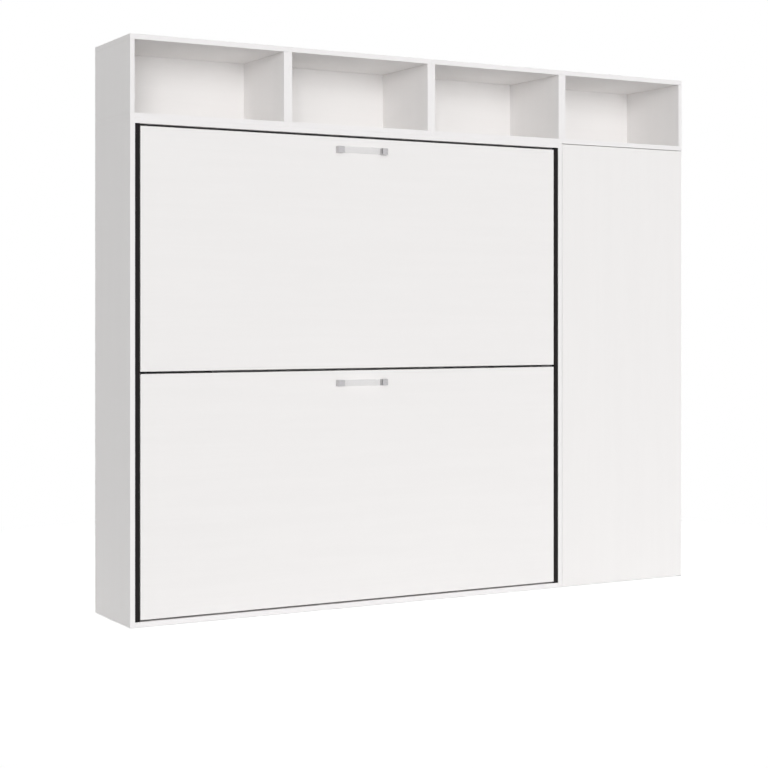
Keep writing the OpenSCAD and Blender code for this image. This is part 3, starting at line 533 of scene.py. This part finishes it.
# Knitted ticking, polyester and viscose: matte, soft, a little sheen at a slant; loops drawn at 2.4 mm to show
ticking = makeFabric("knitted mattress ticking", ("#DCD9D2", "#F0EEE9"), 2.4, 60, 0.35, (0.8, 0.95), 0.25,
                     {"every": mattress["everyCells"], "half": 0.0075, "length": 0.36, "colour": "#BDB9B0"})
# Border of grey spacer knit: an open mesh, darker between its ribs
spacer = makeFabric("grey spacer knit", ("#8E9092", "#B9BBBC"), 3.2, 90, 0.6, (0.8, 0.95), 0.2)
# Polyester binding tape and webbing: tight, slightly glossy yarns
binding = makeFabric("polyester binding tape", ("#6A6C70", "#85878A"), 1.6, 30, 0.25, (0.55, 0.75), 0.1)
webbing = makeFabric("polyester webbing", ("#3A3B3E", "#55565A"), 2.2, 40, 0.4, (0.5, 0.7), 0.15)
# Sewing thread, spun polyester: pale, slightly glossy
thread = makeFabric("spun polyester thread", ("#D8D6D0", "#E6E4DF"), 0.8, 20, 0.1, (0.5, 0.6), 0.1)
mx, mb, ma = mattress["middle"]
nx, ny = mattress["cells"]
halfX, halfY = nx * mattress["cellMm"] / 2, ny * mattress["cellMm"] / 2


def mattressMesh():
    cell, corner, rim, every = (mattress[k] for k in ("cellMm", "cornerMm", "rimMm", "everyCells"))
    points, kept, held, faces, kinds = [], [], [], [], []

    def panelPoint(i, j, side):
        x, y = (i - nx / 2) * cell, (j - ny / 2) * cell
        edge = min(halfX - abs(x), halfY - abs(y))
        u, v = (abs(x) - halfX + corner) / corner, (abs(y) - halfY + corner) / corner
        if u > 0 and v > 0:  # the square corner becomes a quarter circle
            x = math.copysign(halfX - corner + corner * u * math.sqrt(1 - v * v / 2), x)
            y = math.copysign(halfY - corner + corner * v * math.sqrt(1 - u * u / 2), y)
        seams = [abs((k + every / 2) % every - every / 2) for k in (i - j, i + j)]
        puff = min(min(seams) / 2.2, 1) if edge > cell / 2 else 0
        lift = mattress["crownMm"] * (1 - math.exp(-edge / 30))
        lift += mattress["sinkMm"] * (math.sin(puff * math.pi / 2) - 1) * min(edge / cell, 1)
        points.append([x, y, side * (rim + lift)])
        kept.append((i, j, 0))
        held.append(min(seams) == 0 or edge < cell / 2)
        return len(points) - 1

    around = [(i, 0) for i in range(nx + 1)] + [(nx, j) for j in range(1, ny + 1)] \
        + [(i, ny) for i in range(nx - 1, -1, -1)] + [(0, j) for j in range(ny - 1, 0, -1)]
    rims = []
    for side in (-1, 1):
        grid = {(i, j): panelPoint(i, j, side) for i in range(nx + 1) for j in range(ny + 1)}
        rims.append([grid[spot] for spot in around])
        for i in range(nx):
            for j in range(ny):
                a, b, c, d = grid[i, j], grid[i + 1, j], grid[i + 1, j + 1], grid[i, j + 1]
                if (i - j) % every == 0:  # the seams follow the edges of the mesh
                    made = [[a, b, c], [a, c, d]]
                elif (i + j + 1) % every == 0:
                    made = [[a, b, d], [b, c, d]]
                else:
                    made = [[a, b, c, d]]
                faces.extend(made if side > 0 else [face[::-1] for face in made])
                kinds.extend([0] * len(made))
    rings = [rims[0]]
    for row in range(1, mattress["rows"]):
        rings.append([])
        for index in rims[0]:
            rings[-1].append(len(points))
            points.append(points[index][:2] + [-rim + 2 * rim * row / mattress["rows"]])
            kept.append((kept[index][0], kept[index][1], row))
            held.append(row == mattress["rows"] // 2)
    border = joinRings(rings + [rims[1]])
    faces += border
    kinds += [1] * len(border)
    mesh = bpy.data.meshes.new("mattress_cover")
    mesh.from_pydata(points, [], faces)
    mesh.polygons.foreach_set("material_index", kinds)
    mesh.attributes.new("cutPlace", "FLOAT_VECTOR", "POINT").data.foreach_set("vector", [v for k in kept for v in k])
    return mesh, held


def inflate(mesh, held):
    # the cover swells under pressure, held along its seams; no point moves further than the cap
    start = [Vector(v.co) for v in mesh.vertices]
    mesh.transform(Matrix.Scale(0.001, 4))
    pad = bpy.data.objects.new("mattress_trial", mesh)
    scene.collection.objects.link(pad)
    group = pad.vertex_groups.new(name="held")
    group.add([n for n, fixed in enumerate(held) if fixed], 1.0, "REPLACE")
    cloth = pad.modifiers.new("cloth", "CLOTH")
    settle(cloth.settings, quality=5, mass=0.3, tension_stiffness=12, compression_stiffness=12, shear_stiffness=4,
           bending_stiffness=0.4, use_pressure=True, vertex_group_mass="held",
           uniform_pressure_force=mattress["pressure"])
    cloth.settings.effector_weights.gravity = 0
    cloth.collision_settings.use_collision = False
    cloth.point_cache.frame_start, cloth.point_cache.frame_end = 1, 20
    for step in range(1, 21):
        scene.frame_set(step)
    after = pad.evaluated_get(bpy.context.evaluated_depsgraph_get()).data
    moved = [Vector(v.co) * 1000 for v in after.vertices]
    bpy.data.objects.remove(pad)
    scene.frame_set(1)
    shifts = [there - here for there, here in zip(moved, start)]
    for vertex, here, shift in zip(mesh.vertices, start, shifts):
        vertex.co = here + shift * min(1, mattress["capMm"] / max(shift.length, 1e-9))
    print("cover inflated, largest swelling in mm:", round(max(shift.length for shift in shifts), 2))


cover, heldPoints = mattressMesh()
inflate(cover, heldPoints)
for vertex in cover.vertices:  # nothing leaves the solid's own space
    vertex.co = [max(-limit, min(limit, value)) for limit, value in zip(mattress["limitMm"], vertex.co)]
for bed in beds:
    mesh = cover.copy()
    mesh.name = bed + "_mattress_cover"
    # mattress axes: along, up the bed, through it
    mesh.transform(bedShift(bed) @ Matrix.Translation((mx, mb, ma)) @ Matrix.Rotation(math.radians(-90), 4, "X"))
    mesh.materials.append(ticking)
    mesh.materials.append(spacer)
    mesh.shade_smooth()
    piece = bpy.data.objects.new(bed + "_mattress_cover", mesh)
    scene.collection.objects.link(piece)
    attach(piece, bed + "_bed")
    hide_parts(bed + "_mattress")
    finer = piece.modifiers.new("finer", "SUBSURF")
    finer.levels = finer.render_levels = 1
print("mattresses are made")


def filleted(corners, radius, steps):
    # a path through the corners, each turned into an arc
    path = [Vector(corners[0])]
    for before, here, after in zip(corners, corners[1:], corners[2:]):
        before, here, after = Vector(before), Vector(here), Vector(after)
        back, ahead = (before - here).normalized(), (after - here).normalized()
        half = back.angle(ahead) / 2
        reach = min(radius / math.tan(half), (before - here).length * 0.48, (after - here).length * 0.48)
        r = reach * math.tan(half)
        centre = here + (back + ahead).normalized() * (r / math.sin(half))
        start, end = ((here + way * reach - centre).normalized() for way in (back, ahead))
        path += [centre + start.slerp(end, n / steps, end) * r for n in range(steps + 1)]
    return path + [Vector(corners[-1])]


# Sewing: each stitch is a low bead of thread
stitch = {"lengthMm": 3.4, "gapMm": 1.6, "wideMm": 0.9, "highMm": 0.5}


def stitchRow(shape, bed, start, end, outward):
    # a row of stitches between two points in a bed's own mm
    start, end, outward = Vector(start), Vector(end), Vector(outward)
    ahead = (end - start).normalized()
    side = outward.cross(ahead)
    length, gap, wide, high = stitch.values()
    count = max(1, int((end - start).length / (length + gap)))
    for n in range(count):
        centre = start + (end - start) * ((n + 0.5) / count)
        points = [centre + ahead * along * length + side * s * wide * k + outward * t * high * k
                  for along, k in ((-0.5, 0.35), (-0.25, 1), (0.25, 1), (0.5, 0.35))
                  for s, t in ((-0.5, -0.2), (0.5, -0.2), (0.3, 1), (-0.3, 1))]
        rings = [list(range(m, m + 4)) for m in (0, 4, 8, 12)]
        addTo(shape, (points, skin(rings)), bedShift(bed), 1)


def sewnBox(shape, bed, x0, x1, y0, y1, z, side):
    # a box with a cross, sewn on a face that looks along Z
    box = [(x0, y0, z), (x0, y1, z), (x1, y1, z), (x1, y0, z)]
    for one, two in ((0, 1), (1, 2), (2, 3), (3, 0), (0, 2), (1, 3)):
        stitchRow(shape, bed, box[one], box[two], (0, 0, side))


def flatBand(thick, wide, soft, edge):
    # section of a flat band, its edges softened; edge is the flat share of its thickness that is left
    x, y = thick / 2, wide / 2
    corners = [(-x, soft - y), (-x * edge, -y), (x * edge, -y), (x, soft - y)]
    return corners + [(-p, -q) for p, q in corners]


trim = {"handleX": (-1100, -365, 370), "handleHalf": 92, "handleWide": 25, "handleThick": 2.2, "bulge": 6.5,
        "ventX": (-830, 100), "ventUp": (9, 28), "ventR": 7.5, "bindingInset": 3.0,
        "vent": ((1, 0), (1, 0.8), (0.9, 1.7), (0.74, 1.9), (0.62, 1.3), (0.6, 0.6))}
for bed in beds:
    shape = newShape()
    wide, tall = mattress["bindingMm"]
    inset = trim["bindingInset"]
    for side in (-1, 1):
        outline = rounded(2 * (halfX - inset), 2 * (halfY - inset), mattress["cornerMm"] - inset, 9)
        path = [(mx + x, mb + side * mattress["rimMm"], ma + y) for x, y in outline]
        addTo(shape, sweep(path, ring(wide, 12, tall), (0, 1, 0), True), bedShift(bed))
    makePiece(bed + "_mattress_binding", shape, [binding], bed + "_bed", 60)

    handles, vents = newShape(), newShape()
    thick, reach, r = trim["handleThick"], trim["handleHalf"], trim["ventR"]
    for side in (-1, 1):
        face = ma + side * (mattress["limitMm"][1] + thick / 2 - 0.4)
        for x in trim["handleX"]:
            path = []
            for s in (n / 9 - 1 for n in range(19)):
                rise = trim["bulge"] * max(0, math.cos(s * math.pi / 2 / 0.7)) ** 0.8 if abs(s) < 0.7 else 0
                path.append((x + s * reach, mb, face + side * rise))
            addTo(handles, sweep(path, flatBand(thick, trim["handleWide"], 0.5, 0.5), (0, 1, 0)), bedShift(bed))
            for end in (-1, 1):  # each end is sewn down
                sewnBox(handles, bed, x + end * (reach - 3), x + end * (reach - 23), mb - 9, mb + 9,
                        face + side * (thick / 2 + 0.1), side)
        for x in trim["ventX"]:
            for up in trim["ventUp"]:
                spot = bedSpot(bed, x + up, mb + (up - 18) * 2, ma + side * (mattress["limitMm"][1] - 1.2))
                addTo(vents, lathe([(r * k, high) for k, high in trim["vent"]]), placed(spot, (0, 0, side)))
                addTo(vents, lathe([(r * 0.62, 0.5), (0, 0.55)]), placed(spot, (0, 0, side)), 1)
    makePiece(bed + "_mattress_handles", handles, [webbing, thread], bed + "_bed", 50)
    makePiece(bed + "_mattress_vents", vents, [zinc, spacer], bed + "_bed", 30)
print("mattress trim is made")

# Straps over each mattress: polyester webbing under screwed plates, closed by a three-bar buckle
strap = {"x": (-936.4, 206.4), "wide": 40, "thick": 1.8, "bend": 10, "near": -206.3, "far": 696.3, "top": 190.2,
         "tube": 20.4, "endOut": 21, "plate": (46, 19, 2.2), "buckleAt": 400, "buckle": (50, 27), "bar": 1.6,
         "hump": ((-22, 0), (-12, 0), (-2, 4.6), (2, 4.6), (12, 0), (22, 0)),
         "looseEnd": ((-3, 6.6), (5, 6.8), (15, 6.0), (26, 2.1), (95, 2.0)), "sewnAt": (91, 81)}
for bed in beds:
    shape, hardware = newShape(), newShape()
    half = strap["thick"] / 2
    section = flatBand(strap["thick"], strap["wide"], 0.6, 0.4)
    near, far, top, tube, at, bar, out = (strap[k] for k in ("near", "far", "top", "tube", "buckleAt", "bar", "endOut"))
    for x in strap["x"]:
        corners = [(x, tube, near - out), (x, tube, near), (x, top, near)] \
            + [(x, top + high, at + along) for along, high in strap["hump"]] \
            + [(x, top, far), (x, tube, far), (x, tube, far + out)]
        addTo(shape, sweep(filleted(corners, strap["bend"], 6), section, (1, 0, 0)), bedShift(bed))
        # the loose end lies on top of the strap, folded over and sewn at its tip
        tail = filleted([(x, top + high, at + along) for along, high in strap["looseEnd"]], 6, 5)
        addTo(shape, sweep(tail, section, (1, 0, 0)), bedShift(bed))
        for along in strap["sewnAt"]:
            stitchRow(shape, bed, (x - 17, top + 3.0, at + along), (x + 17, top + 3.0, at + along), (0, 1, 0))
        for side, edge in ((-1, near - half - 0.1), (1, far + half + 0.1)):
            sewnBox(shape, bed, x - 16, x + 16, 46, 76, edge, side)
        # buckle: a frame of round wire with a bar across the middle
        long, deep = strap["buckle"]
        wire = [(x + p, top + half + bar + 0.3, at + q) for p, q in rounded(long, deep, 5, 5)]
        addTo(hardware, sweep(wire, ring(bar), (0, 1, 0), True), bedShift(bed))
        addTo(hardware, sweep([(x - long / 2, top + 2.0, at), (x + long / 2, top + 2.0, at)], ring(bar), (0, 1, 0)),
              bedShift(bed))
        for along in (near - out / 2 - 1, far + out / 2 + 1):
            length, deep, thick = strap["plate"]
            addTo(hardware, extrude(rounded(length, deep, 4, 5), 0, thick, 0.4),
                  placed(bedSpot(bed, x, tube + half, along), (0, 1, 0)))
    makePiece(bed + "_strap_webbing", shape, [webbing, thread], bed + "_bed", 50, [bed + "_straps"])
    makePiece(bed + "_strap_buckles", hardware, [zinc], bed + "_bed")
print("straps are made")

# Screws and clips: bright zinc, pan heads with a cross recess; radius and height in mm
screw = {"plate": (5.4, 3.2), "low": (4.4, 1.5), "socket": (3.0, 1.8), "ear": (3.4, 2.0), "strike": (3.2, 0.15),
         "panel": (5.0, 3.0), "clip": (3.4, 2.1)}
inside = {"left": -1438, "right": 708, "cupboard": (752, 1438)}  # inner faces of the cabinet sides in mm
ends = (("left", 1), ("right", -1))
studAt = (130, 330)  # the gas springs' studs, rearward and upward from the pivots
legPins = (("left", -1353, 1), ("right", 623, -1))  # the legs' pins along the unit, and which way each leg lies


def drive(shape, kind, spot, direction, turn, slot=0):
    # a screw head standing on a surface; spot is its place in the frame in mm
    radius, tall = screw[kind]
    sides, corners = 20, 12  # of the head's rim, and of the recess
    profile = ((1, 0), (1, 0.35), (0.93, 0.72), (0.78, 0.93), (0.62, 1))
    points, faces = lathe([(radius * wide, tall * high) for wide, high in profile], sides)
    faces.pop()  # the top stays open for the recess
    rim = list(range(len(points) - sides, len(points)))
    cross = []
    for c, s in ((1, 0), (0, 1), (-1, 0), (0, -1)):
        for x, y in ((0.54, -0.13), (0.54, 0.13), (0.13, 0.13)):
            cross.append(((x * c - y * s) * radius, (x * s + y * c) * radius))
    start = len(points)
    points += [(x, y, tall) for x, y in cross] + [(x * 0.7, y * 0.7, tall * 0.3) for x, y in cross]
    upper, lower = (list(range(low, low + corners)) for low in (start, start + corners))
    faces += joinRings([upper, lower]) + [lower]
    for i in range(corners):  # the crown between rim and recess
        one, two = (round(k * sides / corners - 1.4) % sides for k in (i, i + 1))
        faces.append([upper[(i + 1) % corners], upper[i]]
                     + [rim[(one + k) % sides] for k in range((two - one) % sides + 1)])
    addTo(shape, (points, faces), placed(spot, direction, turn), slot)


circlip = {"outer": 6.8, "inner": 3.75, "thick": 0.9, "from": 28, "around": 304, "steps": 22}
plates, studs = newShape(), newShape()
arc = [math.radians(circlip["from"] + circlip["around"] * n / circlip["steps"]) for n in range(circlip["steps"] + 1)]
outline = [(circlip["outer"] * math.cos(t), circlip["outer"] * math.sin(t)) for t in arc] \
    + [(circlip["inner"] * math.cos(t), circlip["inner"] * math.sin(t)) for t in reversed(arc)]
for bed in beds:
    for end, inward in ends:
        for n, (through, across) in enumerate(((-13, -33), (-13, 33), (53, -33), (53, 33))):
            drive(plates, "plate", bedSpot(bed, inside[end] + inward * 6, through, across), (inward, 0, 0), 17 + 41 * n)
        for n, away in enumerate((-21, 21)):
            spot = bedSpot(bed, inside[end] + inward * 3, studAt[0], studAt[1] + away)
            drive(plates, "low", spot, (inward, 0, 0), 30 + 55 * n)
        addTo(studs, extrude(outline, 0, circlip["thick"], 0),  # on the end of the stud, open at one side
              placed(bedSpot(bed, inside[end] + inward * 19.4, *studAt), (inward, 0, 0), 70))
makePiece("pivot_plate_screws", plates, [zinc], "cabinet")
makePiece("stud_circlips", studs, [zinc], "cabinet")

sockets, strikes = newShape(), newShape()
rail = {"y": 20, "z": 1668, "screwRing": 20, "flange": 3}
for x, inward in zip(inside["cupboard"], (1, -1)):
    for n in range(3):
        t = math.radians(90 + 120 * n)
        spot = (x + rail["flange"] * inward, rail["y"] + rail["screwRing"] * math.cos(t),
                rail["z"] + rail["screwRing"] * math.sin(t))
        drive(sockets, "socket", spot, (inward, 0, 0), 50 * n)
for n, z in enumerate((1041, 1089)):
    drive(sockets, "ear", (755, -150, z), (1, 0, 0), 15 + 40 * n)
for n, z in enumerate((1054, 1076)):
    drive(strikes, "strike", (759, -177.8, z), (0, 1, 0), 20 + 35 * n)
makePiece("cupboard_screws", sockets, [zinc], "cabinet")
makePiece("strike_plate_screws", strikes, [zinc], "door")

# White polypropylene: caps over the cam fittings and cabinet connectors, and soft stops behind the door
cap = {"profile": [(9.5, 0), (9.5, 0.35), (9.0, 0.6), (8.2, 0.7), (2.2, 0.72), (1.8, 0.5), (0, 0.5)], "fromSide": 34,
       "bedPlaces": ((-140, 2108), (60, 2108), (185, 2108), (75, 1054), (185, 1054)),
       "cupboardPlaces": ((-120, 2108), (170, 2108), (-120, 1728), (170, 1728)), "connectorZ": (700, 1700)}
capSpots = []
for left, right, places in ((inside["left"], inside["right"], "bedPlaces"), (*inside["cupboard"], "cupboardPlaces")):
    capSpots += [((x, y, z), (0, 0, -1)) for x in (left + cap["fromSide"], right - cap["fromSide"])
                 for y, z in cap[places]]
for z in cap["connectorZ"]:
    capSpots += [((inside["right"], 150, z), (-1, 0, 0)), ((inside["cupboard"][0], 150, z), (1, 0, 0))]
caps, stops = newShape(), newShape()
for spot, direction in capSpots:
    addTo(caps, lathe(cap["profile"], 28), placed(spot, direction))
for z in (70, 2060):
    addTo(stops, lathe([(4.6, 0), (4.5, 0.7), (4.0, 1.5), (3.0, 2.2), (1.6, 2.55), (0, 2.65)]),
          placed((741, -177.5, z), (0, -1, 0)))
makePiece("fitting_caps", caps, [whitePlastic], "cabinet", 50)
makePiece("door_stops", stops, [whitePlastic], "cabinet", 60)

# Clips that hold the back panels from behind, each under one screw
clip = {"outline": (26, 13, 3), "thick": 2.6, "back": 221.5, "fromSide": 6.7, "bedZ": (130, 480, 830, 1190, 1540, 1890),
        "cupboardZ": (130, 560, 1000, 1440, 1880), "bottomX": (-1150, -750, -365, 20, 420), "boxZ": (2205, 2405),
        "boxEndsZ": (2152, 2458), "module": 730, "left": -1460, "board": 20}
clips, off = newShape(), clip["fromSide"]
spots = [(inside[end] + inward * off, z, 90) for end, inward in ends for z in clip["bedZ"]]
spots += [(x + inward * off, z, 90) for x, inward in zip(inside["cupboard"], (1, -1)) for z in clip["cupboardZ"]]
spots += [(x, 25 + off, 0) for x in clip["bottomX"]]
for n in range(4):
    low, high = (clip["left"] + clip["module"] * (n + k) + clip["board"] * (1 - 2 * k) for k in (0, 1))
    spots += [(x, z, 90) for x in (low + off, high - off) for z in clip["boxZ"]]
    spots += [((low + high) / 2, z, 0) for z in (clip["boxEndsZ"][0] + off, clip["boxEndsZ"][1] - off)]
for n, (x, z, turn) in enumerate(spots):
    addTo(clips, extrude(rounded(*clip["outline"], 4), 0, clip["thick"], 0.5),
          placed((x, clip["back"], z), (0, 1, 0), turn))
    drive(clips, "clip", (x, clip["back"] + clip["thick"], z), (0, 1, 0), 23 * n, 1)
makePiece("back_clips", clips, [palePlastic, zinc], "cabinet")
print("screws, caps and clips are made")

# Weld seams: rippled beads under the powder coat, one ripple in 2.4 mm
weld = {"ripple": 2.4, "corner": 2.6, "face": 1.8, "bracket": 1.5, "post": 1.1, "postR": 10.2, "postZ": 709,
        "postTop": 18.3, "railZ": (224, 300)}


def weldBead(shape, bed, path, radius, up, closed=False):
    path = [Vector(p) for p in path]
    length = sum((b - a).length for a, b in zip(path, path[1:]))
    ripples = length / weld["ripple"]
    if len(path) == 2:
        steps = max(8, round(ripples * 4))
        path = [path[0].lerp(path[1], n / steps) for n in range(steps + 1)]
    addTo(shape, sweep(path, ring(radius, 8), up, closed, lambda t: 1 - 0.22 * ((t * ripples) % 1)), bedShift(bed))


for bed in beds:
    welds, screws, plugs = newShape(), newShape(), newShape()
    for end, inward in ends:
        x33, x63 = inside[end] + inward * 33, inside[end] + inward * 63
        seams = []
        for across, up in ((-200, 1), (690, -1)):  # cross tube against long tube
            x, z = x63 + inward * 0.5, across + up * 0.5
            seams.append(((x, -21, z), (x, 17, z), "corner", (1, 0, 0)))
            seams.append(((x33 + inward, 17.4, across), (x63 - inward, 17.4, across), "face", (0, 1, 0)))
        x = x33 - inward * 0.5  # arm of the gas spring
        seams += [((x, through, -166), (x, through, -117), "bracket", (1, 0, 0)) for through in (-17.4, 17.2)]
        seams += [((x, -16, across), (x, 16, across), "bracket", (1, 0, 0)) for across in (-167.4, -115.6)]
        for start, stop, size, up in seams:
            weldBead(welds, bed, (start, stop), weld[size], up)
        addTo(plugs, lathe([(13.6, 0), (13.6, 1.2), (12.6, 2.2), (9.5, 3.0), (4, 3.4), (0, 3.5)], 32),
              placed(bedSpot(bed, x63, 0, 0), (inward, 0, 0)))
    if bed == "lower":  # brackets of the legs
        for x in (pin[1] + away for pin in legPins for away in (-22.4, 22.4)):
            weldBead(welds, bed, ((x, -19, 720.4), (x, 15, 720.4)), weld["bracket"], (1, 0, 0))
    else:  # guard rail: posts on the tube, and the two rails on the posts
        r, post, railZ = weld["postR"], weld["postZ"], weld["railZ"]
        for x, sides in ((-1222.1, (1,)), (-650.7, (-1, 1)), (63.6, (-1,))):
            around = [(x + p, weld["postTop"], post + q) for p, q in ring(r, 72)]
            weldBead(welds, bed, around, weld["post"], (0, 1, 0), True)
            arc = [(r * math.cos(t), post + r * math.sin(t)) for t in (math.pi * (n / 40 - 0.5) for n in range(41))]
            for side in sides:
                for lift, rails in ((-1, railZ if len(sides) == 2 else railZ[:1]), (1, railZ[:1])):
                    for z in rails:
                        seam = [(x + side * p, z + lift * p, q) for p, q in arc]
                        weldBead(welds, bed, seam, weld["post"], (0, 1, 0))
    for n, slot in enumerate((2, 4, 7, 9, 12)):  # screws through the tubes into the front
        for across in (-215, 705):
            drive(screws, "panel", bedSpot(bed, -1365 + slot * 2000 / 14, 18, across), (0, 1, 0), 37 * n + across)
    makePiece(bed + "_frame_welds", welds, [powderGrey], bed + "_bed", 60)
    makePiece(bed + "_front_screws", screws, [zinc], bed + "_bed")
    makePiece(bed + "_sleeve_plugs", plugs, [blackPlastic], bed + "_bed", 50)

# Gas springs: crimped beads, a sealing gland at the mouth of the tube and a lock nut on the rod, in mm from the stud
spring = {"leanMm": (0, -130, -480), "gland": 243, "crimps": (226, 236), "collar": 13, "nut": 472.5, "nutR": 6.6,
          "glandShape": [(4.4, 0), (8.8, 0), (8.8, 0.6), (8.2, 1.5), (6.2, 1.9), (5.8, 2.6), (4.4, 2.6)],
          "collarShape": [(4.1, 0), (6.2, 0), (7.6, 1.4), (7.6, 5), (4.1, 5)],
          "crimpShape": [(8.8, -1.2), (9.35, -0.9), (9.6, 0), (9.35, 0.9), (8.8, 1.2)]}
for bed in beds:
    glands, nuts = newShape(), newShape()
    lean = Vector(spring["leanMm"]).normalized()
    for end, inward in ends:
        stud = bedSpot(bed, inside[end] + inward * 14, *studAt)
        along = [(spring["gland"], "gland", 0), (spring["collar"], "collar", 0)] \
            + [(at, "crimp", 1) for at in spring["crimps"]]
        for at, kind, slot in along:
            addTo(glands, lathe(spring[kind + "Shape"], 32, True), placed(stud + lean * at, lean), slot)
        addTo(nuts, extrude(ring(spring["nutR"], 6), 0, 4.4, 0.5), placed(stud + lean * spring["nut"], lean))
    makePiece(bed + "_spring_glands", glands, [blackPlastic, powderBlack], bed + "_gas_tubes", 45)
    makePiece(bed + "_spring_nuts", nuts, [zinc], bed + "_gas_rods")

# Legs: a riveted washer over each pin, and a ribbed rubber sleeve on each foot
leg = {"footFrom": 266, "y": -155.5, "top": 1064.6, "foot": 1060.6, "sleeveR": 15.4, "sleeveBack": 9.4,
       "ribs": (-6, -3, 0),
       "rivet": ((8.5, 0.1), (8.5, 0.7), (8.1, 0.95), (6.2, 0.98), (5.9, 1.4), (4.4, 1.9), (2, 2.05), (0, 2.05))}
rivets = newShape()
for name, x, side in legPins:
    addTo(rivets, lathe(leg["rivet"], 32), placed((x, leg["y"], leg["top"])))
makePiece("leg_rivets", rivets, [zinc], "lower_bed", 45)
for name, x, side in legPins:
    sleeve = newShape()
    foot = placed((x + side * leg["footFrom"], leg["y"], leg["foot"]))
    r, back = leg["sleeveR"], leg["sleeveBack"]
    outline = [(-back, -r)] + [(r * math.cos(t), r * math.sin(t)) for t in
                               (math.pi * (n / 16 - 0.5) for n in range(17))] + [(-back, r)]
    addTo(sleeve, extrude([(side * p, q) for p, q in outline], -0.4, 4.4, 0.35), foot)
    for rib in leg["ribs"]:
        corners = ((rib - 0.7, -r - 0.25), (rib + 0.7, -r - 0.25), (rib + 0.7, r + 0.25), (rib - 0.7, r + 0.25))
        addTo(sleeve, extrude([(side * p, q) for p, q in corners], -0.55, 4.55, 0.2), foot)
    makePiece(f"leg_{name}_sleeve", sleeve, [rubber], "leg_" + name)
print("welds, gas springs and legs are finished")
